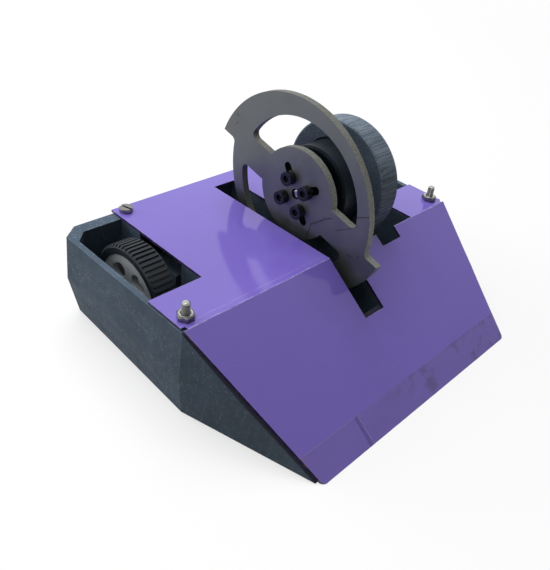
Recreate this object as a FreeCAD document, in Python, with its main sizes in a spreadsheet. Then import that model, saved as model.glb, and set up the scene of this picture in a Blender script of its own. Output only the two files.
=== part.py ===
import FreeCAD, Part
import os
import re

import Sketcher

# Small combat robot: a wedge-fronted body on two driven wheels, with a vertical spinning disc.
# Millimetres. +X is the robot's right, +Y its rear and +Z up. The origin is on the ground, under
# the middle of the body.

# Driving dimensions. Lengths in millimetres, angles in degrees.
DIMENSIONS = {
    # Outline of the body
    "body_width": 145.0,
    "body_length": 123.2,
    "deck_length": 72.1,
    "deck_height": 35.9,
    "ground_clearance": 0.3,
    "nose_width": 115.4,
    "rear_overhang": 1.2,
    "corner_cut_x": 5.9,
    "corner_cut_y": 4.8,
    "facet_height": 17.5,
    "facet_inset": 2.9,
    "fold_inset": 0.6,
    "side_bulge": 1.0,
    # Walls of the printed tub
    "side_wall": 2.2,
    "rear_wall": 5.0,
    "floor_thickness": 2.5,
    "inner_wall": 2.2,
    "nose_depth": 11.0,
    "block_lead": 3.0,
    "well_width": 20.6,
    "well_ledge": 0.5,
    "ledge_height": 16.8,
    "well_corner": 4.6,
    "trough_margin": 0.5,
    "trough_ledge": 2.0,
    # Bent panel
    "panel_thickness": 1.0,
    "panel_margin": 0.5,
    "nose_margin": 1.2,
    "nose_corner": 2.0,
    "tab_lap": 1.0,
    "deck_lap": 2.3,
    "fold_radius": 1.2,
    "fold_relief": 1.5,
    "slot_width": 10.8,
    "slot_room": 8.6,
    "disc_clearance": 0.6,
    "cutout_lead": 2.1,
    "cutout_margin": 2.2,
    "cutout_gap": 1.4,
    "notch_start": 1.1,
    "notch_width": 11.9,
    "notch_depth": 4.3,
    # Steel disc
    "disc_offset": 0.85,
    "disc_thickness": 3.0,
    "disc_teeth": 2,
    "disc_from_rear": 48.4,
    "disc_axis_height": 50.2,
    "disc_rest_angle": 14.0,
    "disc_arc_radius": 39.75,
    "disc_arc_offset": 5.5,
    "disc_arc_angle": 53.0,
    "disc_hub_radius": 18.0,
    "window_radius": 29.4,
    "spoke_lead": 5.9,
    "spoke_trail": 6.6,
    "tooth_fillet": 2.0,
    "window_fillet": 2.2,
    "adjust_slot_start": 5.4,
    "adjust_slot_end": 10.8,
    "adjust_slot_play": 0.1,
    "disc_screw_circle": 6.5,
    "motor_screws": 4,
    # Outrunner motor
    "bell_radius": 16.5,
    "bell_wall": 1.2,
    "bell_length": 12.4,
    "bell_face": 2.0,
    "bell_rim_step": 0.8,
    "boss_length": 5.65,
    "boss_radius": 9.4,
    "bell_window_radius": 13.6,
    "bell_spoke": 2.4,
    "bell_spokes": 6,
    "magnet_thickness": 1.4,
    "magnet_gap": 0.5,
    "magnets": 14,
    "air_gap": 0.5,
    "base_gap": 0.5,
    "base_thickness": 1.6,
    "base_radius": 13.5,
    "base_screw_circle": 8.0,
    "tube_wall": 1.2,
    "bearing_radius": 4.0,
    "bearing_width": 3.0,
    "shaft_radius": 2.0,
    "shaft_recess": 0.4,
    "shaft_tail": 4.0,
    "stator_teeth": 12,
    "stator_yoke": 2.0,
    "stator_length": 6.2,
    "tooth_width": 2.0,
    "tooth_head": 1.1,
    "tooth_head_width": 5.2,
    "coil_build": 0.75,
    "coil_end": 1.0,
    # Printed mount of the outrunner
    "mount_radius": 24.1,
    "mount_thickness": 9.0,
    "mount_recess": 1.5,
    "recess_play": 0.7,
    "mount_web_front": 19.7,
    "mount_web_rear": 6.8,
    "mount_edge": 1.2,
    "foot_thickness": 4.0,
    "foot_reach": 5.6,
    "foot_screw_inset": 3.2,
    # Wheels and their gearmotors
    "wheel_radius": 19.5,
    "wheel_width": 9.6,
    "wheel_gap": 4.7,
    "wheel_room": 4.8,
    "wheel_slot_room": 1.4,
    "rim_radius": 16.3,
    "rim_inset": 0.5,
    "rim_wall": 1.8,
    "rim_web": 2.6,
    "rim_holes": 5,
    "rim_hole_radius": 2.7,
    "rim_hole_spread": 1.3,
    "rim_hole_circle": 9.9,
    "hub_radius": 4.4,
    "tread_ribs": 60,
    "tread_groove": 0.95,
    "tread_depth": 0.8,
    "tread_shoulder": 1.0,
    "axle_radius": 1.5,
    "axle_flat": 0.5,
    "axle_depth": 4.0,
    "gearbox_length": 9.0,
    "gearbox_width": 12.0,
    "gearbox_height": 10.0,
    "motor_length": 15.0,
    "motor_corner": 3.3,
    "motor_cap": 1.4,
    "motor_cap_radius": 2.5,
    "window_play": 0.6,
    "cradle_side": 5.0,
    "cradle_tail": 2.0,
    "strap_thickness": 1.8,
    "strap_length": 7.0,
    "strap_start": 1.2,
    "strap_foot": 3.85,
    # Fasteners
    "bolt_radius": 1.5,
    "bolt_head_radius": 2.75,
    "bolt_head_height": 3.0,
    "bolt_socket": 1.44,
    "bolt_socket_depth": 1.6,
    "bolt_hole_play": 0.1,
    "head_play": 0.3,
    "head_recess": 0.3,
    "nut_radius": 3.17,
    "nut_height": 2.0,
    "nut_face": 2.6,
    "nut_chamfer": 0.33,
    "stud_end": 4.2,
    "thread_radius": 1.33,
    "thread_tip": 0.5,
    "stud_from_fold": 4.8,
    "stud_inset": 4.9,
    "cheese_radius": 2.58,
    "cheese_height": 1.7,
    "cheese_slot": 0.8,
    "cheese_slot_depth": 1.0,
    "cheese_slot_turn": -72.0,
    "rear_screw_inset": 1.8,
    "rear_screw_length": 12.0,
    "small_screw_radius": 1.0,
    "small_head_radius": 1.8,
    "small_head_height": 1.3,
    "small_screw_length": 8.0,
    "small_slot": 0.5,
    "mount_screw_length": 6.0,
    "sunk_socket": 1.0,
    "sunk_socket_depth": 1.5,
    # Fits
    "seat_clearance": 0.02,
    "running_clearance": 0.04,
    # Battery and electronics
    "battery_width": 30.0,
    "battery_length": 44.0,
    "battery_height": 15.0,
    "battery_corner": 1.6,
    "board_thickness": 1.6,
    "controller_width": 30.0,
    "controller_length": 18.0,
    "controller_height": 6.0,
    "driver_width": 26.0,
    "driver_length": 9.0,
    "driver_height": 4.0,
    "receiver_width": 22.0,
    "receiver_length": 9.0,
    "receiver_height": 5.0,
    "part_margin": 1.4,
    "bay_gap": 1.2,
}

# Dimensions that follow from the driving ones.
DERIVED = {
    "half_width": "body_width / 2",
    "front_y": "-body_length / 2",
    "rear_y": "body_length / 2",
    "fold_y": "rear_y - deck_length",
    "slope_angle": "atan(deck_height / (fold_y - front_y))",
    "taper": "(half_width - nose_width / 2) / (fold_y - front_y)",
    "tub_top": "deck_height - panel_thickness",
    "tub_fold_y": "fold_y + panel_thickness * tan(slope_angle / 2)",
    "tub_nose_y": "front_y + panel_thickness / sin(slope_angle) + ground_clearance / tan(slope_angle)",
    "tub_rear_y": "rear_y - rear_overhang",
    "inner_rear_y": "tub_rear_y - rear_wall",
    "floor_top": "ground_clearance + floor_thickness",
    "well_outer_x": "half_width - side_wall",
    "well_low_x": "well_outer_x - facet_inset - well_ledge",
    "divider_outer_x": "well_outer_x - well_width",
    "divider_inner_x": "divider_outer_x - inner_wall",
    "wheel_y": "inner_rear_y - wheel_room - wheel_radius",
    "wheel_inner_x": "divider_outer_x + wheel_gap",
    "well_front_y": "wheel_y - wheel_radius - wheel_room",
    "tab_rear_y": "well_front_y + tab_lap",
    "tab_x": "half_width - panel_margin",
    "deck_x": "divider_inner_x + deck_lap",
    "panel_nose_x": "nose_width / 2 - nose_margin",
    "nose_turn": "atan((tab_x - panel_nose_x) / (fold_y - front_y))",
    "nose_tangent": "nose_corner * (1 - sin(nose_turn)) / cos(nose_turn)",
    "block_front_y": "fold_y - block_lead",
    "bay_front_y": "front_y + nose_depth",
    "block_bay_x": "well_outer_x - taper * block_lead",
    "nose_bay_x": "well_outer_x - taper * (fold_y - bay_front_y)",
    "disc_y": "rear_y - disc_from_rear",
    "disc_left_x": "disc_offset - disc_thickness / 2",
    "disc_right_x": "disc_offset + disc_thickness / 2",
    "disc_side": "disc_arc_offset * sin(disc_arc_angle)",
    "disc_chord": "sqrt(disc_arc_radius ^ 2 - disc_side ^ 2)",
    "disc_tip_radius": "disc_chord + disc_arc_offset * cos(disc_arc_angle)",
    "axis_over_deck": "disc_axis_height - deck_height",
    "axis_over_slope": "axis_over_deck * cos(slope_angle) - (disc_y - fold_y) * sin(slope_angle)",
    "slope_chord": "sqrt(disc_tip_radius ^ 2 - axis_over_slope ^ 2)",
    "disc_front_y": "disc_y + axis_over_slope * sin(slope_angle) - slope_chord * cos(slope_angle)",
    "slot_front_y": "disc_front_y - slot_room",
    "slot_rear_y": "disc_y + sqrt(disc_tip_radius ^ 2 - axis_over_deck ^ 2) + disc_clearance",
    "slot_left_x": "disc_offset - slot_width / 2",
    "slot_right_x": "disc_offset + slot_width / 2",
    "trough_left_x": "slot_left_x - trough_margin",
    "trough_right_x": "slot_right_x + trough_margin",
    "bay_left_x": "trough_left_x - inner_wall",
    "bay_right_x": "trough_right_x + inner_wall",
    "trough_front_y": "slot_front_y + trough_ledge",
    "trough_rear_y": "max(slot_rear_y; inner_rear_y)",
    "bell_front_x": "disc_right_x + boss_length",
    "bell_rear_x": "bell_front_x + bell_length",
    "base_front_x": "bell_rear_x + base_gap",
    "mount_front_x": "base_front_x + base_thickness",
    "mount_rear_x": "mount_front_x + mount_thickness",
    "mount_face_x": "mount_front_x - mount_recess",
    "bell_chord": "sqrt(max(bell_radius ^ 2 - axis_over_deck ^ 2; 1))",
    "mount_chord": "sqrt(max(mount_radius ^ 2 - axis_over_deck ^ 2; 1))",
    "magnet_inner": "bell_radius - bell_wall - magnet_thickness",
    "stator_radius": "magnet_inner - air_gap",
    "tube_radius": "bearing_radius + tube_wall",
    "tube_length": "base_front_x - bell_front_x - bell_face - base_gap",
    "stator_middle_x": "base_front_x - tube_length / 2",
    "yoke_radius": "tube_radius + seat_clearance + stator_yoke",
    "shaft_end_x": "mount_front_x + shaft_tail",
    "bolt_hole": "bolt_radius + bolt_hole_play",
    "head_hole": "bolt_head_radius + head_play",
    "stud_x": "half_width - stud_inset",
    "stud_y": "fold_y + stud_from_fold",
    "stud_head_z": "ground_clearance + head_recess + bolt_head_height",
    "rear_screw_x": "deck_x - rear_screw_inset - deck_lap",
    "rear_screw_y": "tub_rear_y - rear_wall / 2",
    "web_front_y": "disc_y - mount_web_front",
    "web_rear_y": "disc_y + mount_web_rear",
    "foot_left_x": "mount_front_x - foot_reach",
    "foot_right_x": "mount_rear_x + foot_reach",
    "gearbox_front_x": "divider_outer_x",
    "gearbox_rear_x": "gearbox_front_x - gearbox_length",
    "motor_rear_x": "gearbox_rear_x - motor_length",
    "cradle_top": "wheel_radius - gearbox_height / 2",
    "cradle_half": "gearbox_width / 2 + cradle_side",
    "strap_screw_y": "gearbox_width / 2 + strap_thickness + strap_foot / 2",
    "window_half": "strap_screw_y + strap_foot / 2 + window_play",
}

# How near, in millimetres, an edge lies to the place where it is looked for.
NEAR = 0.01

SIDES = {"left": -1, "right": 1}

# Turn that takes the +Z way of a round bar to another way: axis and degrees.
WAYS = {
    "+Z": ("0; 0; 1", 0),
    "-Z": ("1; 0; 0", 180),
    "+X": ("0; 1; 0", 90),
    "-X": ("0; 1; 0", -90),
}
OPPOSITE = {"+Z": "-Z", "-Z": "+Z", "+X": "-X", "-X": "+X"}

doc = FreeCAD.newDocument("combat_robot")
sheet = doc.addObject("Spreadsheet::Sheet", "Dimensions")
nodes = {}


def fill_sheet():
    """Writes the dimensions into the sheet, one aliased cell each."""
    rows = [(name, str(number)) for name, number in DIMENSIONS.items()]
    rows += [(name, "=" + text) for name, text in DERIVED.items()]
    for row, (name, content) in enumerate(rows, start=1):
        sheet.set(f"A{row}", name)
        sheet.set(f"B{row}", content)
        sheet.setAlias(f"B{row}", name)
    doc.recompute()


def linked(text):
    """Turns a formula of dimension names into one that points at the sheet."""
    names = DIMENSIONS.keys() | DERIVED.keys()

    def point(word):
        return f"Dimensions.{word[0]}" if word[0] in names else word[0]

    return re.sub(r"[A-Za-z_]\w*", point, str(text))


def size(text):
    """Present value of a formula."""
    return float(sheet.evalExpression(str(text)))


def place(piece, x="0", y="0", z="0", axis="0; 0; 1", angle="0"):
    """Ties a piece's place and turn to the sheet."""
    spot = f"vector({linked(x)}; {linked(y)}; {linked(z)})"
    piece.setExpression("Placement", f"placement({spot}; rotation(vector({axis}); {linked(angle)}))")


def keep(name, piece):
    """Names a finished sub-part."""
    piece.Label = name
    nodes[name] = piece
    return piece


# Sketches and features


def new_body(name):
    """Empty body that becomes the sub-part of that name."""
    return keep(name, doc.addObject("PartDesign::Body", name))


def origin(body, role):
    """Plane or axis of a body's own origin."""
    return next(feature for feature in body.Origin.OriginFeatures if feature.Role == role)


def new_sketch(body, role, offset="0", turn="0"):
    """Sketch on one of a body's origin planes, moved along its normal and turned in its plane."""
    sketch = body.newObject("Sketcher::SketchObject", body.Name + "_sketch")
    sketch.AttachmentSupport = [(origin(body, role), "")]
    sketch.MapMode = "FlatFace"
    sketch.setExpression("AttachmentOffset.Base.z", linked(offset))
    sketch.setExpression("AttachmentOffset.Rotation.Angle", linked(turn))
    return sketch


def measure(sketch, kind, geometry, point, text):
    """Distance of a sketch point from the sketch's origin, tied to the sheet."""
    index = sketch.addConstraint(Sketcher.Constraint(kind, -1, 1, geometry, point, size(text)))
    sketch.setExpression(f"Constraints[{index}]", linked(text))


def pin(sketch, geometry, point, x, y):
    """Fixes a sketch point by its two distances from the sketch's origin."""
    measure(sketch, "DistanceX", geometry, point, x)
    measure(sketch, "DistanceY", geometry, point, y)


def set_radius(sketch, geometry, text):
    """Radius of a sketch circle or arc, tied to the sheet."""
    index = sketch.addConstraint(Sketcher.Constraint("Radius", geometry, size(text)))
    sketch.setExpression(f"Constraints[{index}]", linked(text))


def polygon(sketch, corners):
    """Closed outline of straight lines through corners given as pairs of formulas."""
    first = sketch.GeometryCount
    count = len(corners)
    spots = [FreeCAD.Vector(size(x), size(y), 0) for x, y in corners]
    for index in range(count):
        sketch.addGeometry(Part.LineSegment(spots[index], spots[(index + 1) % count]))
    for index in range(count):
        after = first + (index + 1) % count
        sketch.addConstraint(Sketcher.Constraint("Coincident", first + index, 2, after, 1))
    for index, (x, y) in enumerate(corners):
        pin(sketch, first + index, 1, x, y)


def rectangle(sketch, x_low, x_high, y_low, y_high):
    """Closed rectangle between four formulas."""
    polygon(sketch, [(x_low, y_low), (x_high, y_low), (x_high, y_high), (x_low, y_high)])


def circle(sketch, x, y, radius):
    """Full circle."""
    centre = FreeCAD.Vector(size(x), size(y), 0)
    index = sketch.addGeometry(Part.Circle(centre, FreeCAD.Vector(0, 0, 1), size(radius)))
    pin(sketch, index, 3, x, y)
    set_radius(sketch, index, radius)


def arc(sketch, x, y, radius, start, end):
    """Arc about a centre, counter-clockwise from one point to another, with free ends."""
    centre = FreeCAD.Vector(size(x), size(y), 0)
    ring = Part.Circle(centre, FreeCAD.Vector(0, 0, 1), size(radius))
    low, high = (ring.parameter(FreeCAD.Vector(size(u), size(v), 0)) for u, v in (start, end))
    index = sketch.addGeometry(Part.ArcOfCircle(ring, low, high))
    pin(sketch, index, 3, x, y)
    set_radius(sketch, index, radius)
    return index


def line(sketch, start, end):
    """Straight line with free ends."""
    spots = [FreeCAD.Vector(size(x), size(y), 0) for x, y in (start, end)]
    return sketch.addGeometry(Part.LineSegment(*spots))


def join(sketch, *ends):
    """Makes pairs of curve ends meet."""
    for first, first_end, second, second_end in ends:
        sketch.addConstraint(Sketcher.Constraint("Coincident", first, first_end, second, second_end))


def pad(body, sketch, length, both=False, back=False):
    """Adds the sketch's area, pulled along its normal."""
    feature = body.newObject("PartDesign::Pad", body.Name + "_pad")
    feature.Profile = sketch
    feature.SideType = "Symmetric" if both else "One side"
    feature.Reversed = back
    feature.setExpression("Length", linked(length))
    doc.recompute()
    return feature


def pocket(body, sketch, length=None, both=False, back=False):
    """Takes the sketch's area away, to a depth or right through, and makes sure that it cuts."""
    before = body.Shape.Volume
    feature = body.newObject("PartDesign::Pocket", body.Name + "_pocket")
    feature.Profile = sketch
    feature.SideType = "Symmetric" if both else "One side"
    feature.Reversed = back
    if length is None:
        feature.Type = "ThroughAll"
    else:
        feature.setExpression("Length", linked(length))
    doc.recompute()
    if body.Shape.Volume >= before:
        raise ValueError(f"a pocket of {body.Label} cuts nothing")
    return feature


def revolve(body, sketch):
    """Turns the sketch's area about the body's X axis."""
    feature = body.newObject("PartDesign::Revolution", body.Name + "_turning")
    feature.Profile = sketch
    feature.ReferenceAxis = (origin(body, "X_Axis"), [""])
    feature.Angle = 360
    doc.recompute()
    return feature


def repeat(body, feature, count):
    """Repeats a feature evenly around the body's X axis."""
    pattern = body.newObject("PartDesign::PolarPattern", body.Name + "_pattern")
    pattern.Originals = [feature]
    pattern.Axis = (origin(body, "X_Axis"), [""])
    pattern.Angle = 360
    pattern.setExpression("Occurrences", linked(count))
    body.Tip = pattern
    doc.recompute()
    return pattern


def fillet(body, radius, wanted):
    """Rounds the edges of a body whose middle point passes a test."""
    base = body.Tip
    edges = enumerate(base.Shape.Edges, start=1)
    names = [f"Edge{index}" for index, edge in edges if wanted(edge)]
    feature = body.newObject("PartDesign::Fillet", body.Name + "_fillet")
    feature.Base = (base, names)
    feature.setExpression("Radius", linked(radius))
    doc.recompute()
    return feature


# Simple solids


def bar(name, radius, length, x, y, z, way="+Z"):
    """Round bar that starts at a point and runs one way."""
    solid = doc.addObject("Part::Cylinder", name)
    solid.setExpression("Radius", linked(radius))
    solid.setExpression("Height", linked(length))
    place(solid, x, y, z, *WAYS[way])
    return solid


def hexagon(name, radius, length, x, y, z, way="+Z"):
    """Six-sided bar that starts at a point and runs one way."""
    solid = doc.addObject("Part::Prism", name)
    solid.Polygon = 6
    solid.setExpression("Circumradius", linked(radius))
    solid.setExpression("Height", linked(length))
    place(solid, x, y, z, *WAYS[way])
    return solid


def cone(name, start_radius, end_radius, length, x, y, z, way="+Z"):
    """Cone that starts at a point and runs one way."""
    solid = doc.addObject("Part::Cone", name)
    solid.setExpression("Radius1", linked(start_radius))
    solid.setExpression("Radius2", linked(end_radius))
    solid.setExpression("Height", linked(length))
    place(solid, x, y, z, *WAYS[way])
    return solid


def block(name, x, y, z, length, width, height, **turn):
    """Box with its lowest corner at a point."""
    solid = doc.addObject("Part::Box", name)
    solid.setExpression("Length", linked(length))
    solid.setExpression("Width", linked(width))
    solid.setExpression("Height", linked(height))
    place(solid, x, y, z, **turn)
    return solid


def fused(name, *solids):
    """One solid from several that touch."""
    result = doc.addObject("Part::MultiFuse", name)
    result.Shapes = list(solids)
    result.Refine = True
    return result


def common(name, *solids):
    """What several solids share."""
    result = doc.addObject("Part::MultiCommon", name)
    result.Shapes = list(solids)
    return result


def cut(name, base, tool):
    """A solid less another."""
    result = doc.addObject("Part::Cut", name)
    result.Base = base
    result.Tool = tool
    return result


def group(name, solids):
    """Sub-part of several separate solids."""
    result = doc.addObject("Part::Compound", name)
    result.Links = solids
    return keep(name, result)


def cap_screw(name, length, x, y, z, way):
    """Socket-head screw: its head seats at a point and its shank runs one way from there."""
    back = OPPOSITE[way]
    step = 1 if back[0] == "+" else -1
    shift = f" + {step} * (bolt_head_height - bolt_socket_depth)"
    start = {"x": x, "y": y, "z": z}
    start[back[1].lower()] += shift
    shank = bar(name + "_shank", "bolt_radius", length, x, y, z, way)
    head = bar(name + "_head", "bolt_head_radius", "bolt_head_height", x, y, z, back)
    socket = hexagon(name + "_socket", "bolt_socket", "bolt_socket_depth", way=back, **start)
    return cut(name, fused(name + "_blank", shank, head), socket)


# Sub-parts of the body


def tub_walls(body):
    """Outside of the tub: plan outlines at three levels, widest at the middle one, cut off by the slope."""
    outlines = []
    for level, rear, fold in (("ground_clearance", "half_width - facet_inset", "half_width - fold_inset"),
                              ("facet_height", "half_width + side_bulge", "half_width + side_bulge"),
                              ("tub_top", "half_width", "half_width")):
        half = [("nose_width / 2", "front_y"), (fold, "fold_y"), (rear, "tub_rear_y - corner_cut_y"),
                (f"{rear} - corner_cut_x", "tub_rear_y")]
        outline = new_sketch(body, "XY_Plane", level)
        polygon(outline, half + [(f"-({x})", y) for x, y in reversed(half)])
        outlines.append(outline)
    walls = body.newObject("PartDesign::AdditiveLoft", body.Name + "_walls")
    walls.Profile = outlines[0]
    walls.Sections = outlines[1:]
    walls.Ruled = True
    doc.recompute()
    slope = new_sketch(body, "YZ_Plane")
    polygon(slope, [("front_y", "ground_clearance"), ("tub_nose_y", "ground_clearance"),
                    ("tub_fold_y", "tub_top"), ("front_y", "tub_top")])
    pocket(body, slope, "2 * body_width", both=True)


def tub_hollows(body):
    """Bays for the battery and electronics, the disc's trough and the two wheel wells."""
    bays = new_sketch(body, "XY_Plane", "tub_top")
    for side, inner in ((-1, "bay_left_x"), (1, "bay_right_x")):
        polygon(bays, [(inner, "bay_front_y"), (inner, "inner_rear_y"),
                       (f"{side} * divider_inner_x", "inner_rear_y"),
                       (f"{side} * divider_inner_x", "block_front_y"),
                       (f"{side} * block_bay_x", "block_front_y"),
                       (f"{side} * nose_bay_x", "bay_front_y")])
        low = f"{side} * well_low_x"
        polygon(bays, [(f"{side} * divider_outer_x", "well_front_y"), (low, "well_front_y"),
                       (low, "inner_rear_y - well_corner + well_outer_x - well_low_x"),
                       (f"{side} * (well_outer_x - well_corner)", "inner_rear_y"),
                       (f"{side} * divider_outer_x", "inner_rear_y")])
    rectangle(bays, "trough_left_x", "trough_right_x", "trough_front_y", "trough_rear_y")
    pocket(body, bays, "tub_top - floor_top")
    wells = new_sketch(body, "XY_Plane", "tub_top")
    slots = new_sketch(body, "XY_Plane")
    slot_half = "sqrt(wheel_radius ^ 2 - (wheel_radius - floor_top) ^ 2) + wheel_slot_room"
    for side in SIDES.values():
        outer = f"{side} * well_outer_x"
        polygon(wells, [(f"{side} * divider_outer_x", "well_front_y"), (outer, "well_front_y"),
                        (outer, "inner_rear_y - well_corner"),
                        (f"{side} * (well_outer_x - well_corner)", "inner_rear_y"),
                        (f"{side} * divider_outer_x", "inner_rear_y")])
        rectangle(slots, f"{side} * (wheel_inner_x - wheel_slot_room)",
                  f"{side} * (wheel_inner_x + wheel_width + wheel_slot_room)",
                  f"wheel_y - ({slot_half})", f"wheel_y + ({slot_half})")
    pocket(body, wells, "tub_top - ledge_height")
    pocket(body, slots, back=True)


def tub_motor_seats(body):
    """Cradles under the gearmotors, openings in the dividers and room for the bell."""
    cradles = new_sketch(body, "XY_Plane", "floor_top")
    openings = new_sketch(body, "XY_Plane", "tub_top")
    for side in SIDES.values():
        rectangle(openings, f"{side} * divider_inner_x", f"{side} * divider_outer_x",
                  "wheel_y - window_half", "wheel_y + window_half")
        rectangle(cradles, f"{side} * (motor_rear_x - cradle_tail)", f"{side} * divider_outer_x",
                  "wheel_y - cradle_half", "wheel_y + cradle_half")
    pocket(body, openings, "tub_top - cradle_top")
    pad(body, cradles, "cradle_top - floor_top")
    relief = new_sketch(body, "XY_Plane", "tub_top")
    rectangle(relief, "trough_right_x", "bay_right_x", "disc_y - bell_radius", "disc_y + bell_radius")
    pocket(body, relief, "max(tub_top - disc_axis_height + bell_radius + bell_wall; bell_wall)")


def foot_screw_spots():
    """Places of the screws under the foot of the motor mount."""
    return [(x, y) for x in ("foot_left_x + foot_screw_inset", "foot_right_x - foot_screw_inset")
            for y in ("web_front_y + foot_screw_inset", "web_rear_y - foot_screw_inset")]


def strap_screw_spots(side):
    """Places of the two screws of one motor strap."""
    x = f"{side} * (gearbox_front_x - strap_start - strap_length / 2)"
    return [(x, f"wheel_y + {way} * strap_screw_y") for way in SIDES.values()]


def tub_screw_holes(body):
    """Holes for the panel's bolts and screws, the mount's screws and the straps' screws."""
    through = new_sketch(body, "XY_Plane")
    heads = new_sketch(body, "XY_Plane", "ground_clearance")
    rear = new_sketch(body, "XY_Plane", "tub_top")
    straps = new_sketch(body, "XY_Plane", "cradle_top")
    for side in SIDES.values():
        circle(through, f"{side} * stud_x", "stud_y", "bolt_hole")
        circle(heads, f"{side} * stud_x", "stud_y", "head_hole")
        circle(rear, f"{side} * rear_screw_x", "rear_screw_y", "bolt_radius + seat_clearance")
        for x, y in strap_screw_spots(side):
            circle(straps, x, y, "small_screw_radius + seat_clearance")
    for x, y in foot_screw_spots():
        circle(through, x, y, "bolt_hole")
    pocket(body, through, back=True)
    pocket(body, heads, "bolt_head_height + head_recess", back=True)
    pocket(body, rear, "rear_screw_length")
    pocket(body, straps, "small_screw_length")


def countersinks(body):
    """Conical seats in the floor's underside for the mount's flat-headed screws."""
    sinks = new_sketch(body, "XY_Plane", "ground_clearance")
    for x, y in foot_screw_spots():
        circle(sinks, x, y, "bolt_head_radius + bolt_hole_play")
    feature = pocket(body, sinks, "bolt_head_radius - bolt_radius", back=True)
    feature.TaperAngle = -45
    doc.recompute()


def make_chassis():
    """Printed tub that carries everything."""
    body = new_body("chassis")
    tub_walls(body)
    tub_hollows(body)
    tub_motor_seats(body)
    tub_screw_holes(body)
    countersinks(body)


def trim_nose(sketch, side):
    """Area beyond the slope's slanted side, with a round corner at the front edge."""
    edge = f"{side} * tab_x"
    low = (f"{side} * (panel_nose_x - nose_tangent)", "front_y")
    high = (f"{side} * (panel_nose_x - nose_tangent + nose_corner * cos(nose_turn))",
            "front_y + nose_corner - nose_corner * sin(nose_turn)")
    ends = (low, high) if side > 0 else (high, low)
    corner = arc(sketch, low[0], "front_y + nose_corner", "nose_corner", *ends)
    slant = line(sketch, high, (edge, "fold_y"))
    outside = line(sketch, (edge, "fold_y"), (edge, "front_y"))
    front = line(sketch, (edge, "front_y"), low)
    join(sketch, (slant, 1, corner, 1 + ends.index(high)), (slant, 2, outside, 1))
    join(sketch, (front, 2, corner, 1 + ends.index(low)), (front, 1, outside, 2))
    pin(sketch, outside, 1, edge, "fold_y")
    pin(sketch, outside, 2, edge, "front_y")
    measure(sketch, "DistanceX", front, 2, low[0])
    measure(sketch, "DistanceY", slant, 1, high[1])


def make_panel():
    """Sheet bent over deck and slope, trimmed round the wells, the disc and the motor."""
    body = new_body("top_panel")
    profile = new_sketch(body, "YZ_Plane")
    polygon(profile, [("front_y", "0"), ("front_y + panel_thickness / sin(slope_angle)", "0"),
                      ("tub_fold_y", "tub_top"), ("rear_y", "tub_top"),
                      ("rear_y", "deck_height"), ("fold_y", "deck_height")])
    pad(body, profile, "2 * tab_x", both=True)
    fold = FreeCAD.Vector(0, size("fold_y"), size("deck_height"))
    reach = size("panel_thickness") / 2
    fillet(body, "fold_radius", lambda edge: edge.CenterOfMass.distanceToPoint(fold) < reach)
    trim = new_sketch(body, "XY_Plane")
    for side in SIDES.values():
        edge = f"{side} * tab_x"
        trim_nose(trim, side)
        rectangle(trim, f"{side} * deck_x", edge, "tab_rear_y", "rear_y")
        rectangle(trim, f"{side} * (tab_x - fold_relief)", edge, "fold_y", "fold_y + fold_relief")
    pocket(body, trim, back=True)
    holes = new_sketch(body, "XY_Plane")
    for side in SIDES.values():
        circle(holes, f"{side} * stud_x", "stud_y", "bolt_hole")
        circle(holes, f"{side} * rear_screw_x", "rear_screw_y", "bolt_hole")
    bell_half = "bell_chord + 2 * cutout_gap"
    polygon(holes, [("slot_left_x", "slot_front_y"), ("slot_right_x", "slot_front_y"),
                    ("slot_right_x", f"disc_y - ({bell_half})"),
                    ("mount_front_x - cutout_lead", f"disc_y - ({bell_half})"),
                    ("mount_front_x - cutout_lead", "fold_y"),
                    ("mount_front_x + notch_start", "fold_y"),
                    ("mount_front_x + notch_start", "fold_y - notch_depth"),
                    ("mount_front_x + notch_start + notch_width", "fold_y - notch_depth"),
                    ("mount_front_x + notch_start + notch_width", "fold_y"),
                    ("deck_x - cutout_margin", "fold_y"),
                    ("deck_x - cutout_margin", "disc_y + mount_chord + cutout_gap"),
                    ("mount_front_x - cutout_lead", "disc_y + mount_chord + cutout_gap"),
                    ("mount_front_x - cutout_lead", f"disc_y + {bell_half}"),
                    ("slot_right_x", f"disc_y + {bell_half}"),
                    ("slot_right_x", "slot_rear_y"), ("slot_left_x", "slot_rear_y")])
    pocket(body, holes, back=True)


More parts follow.
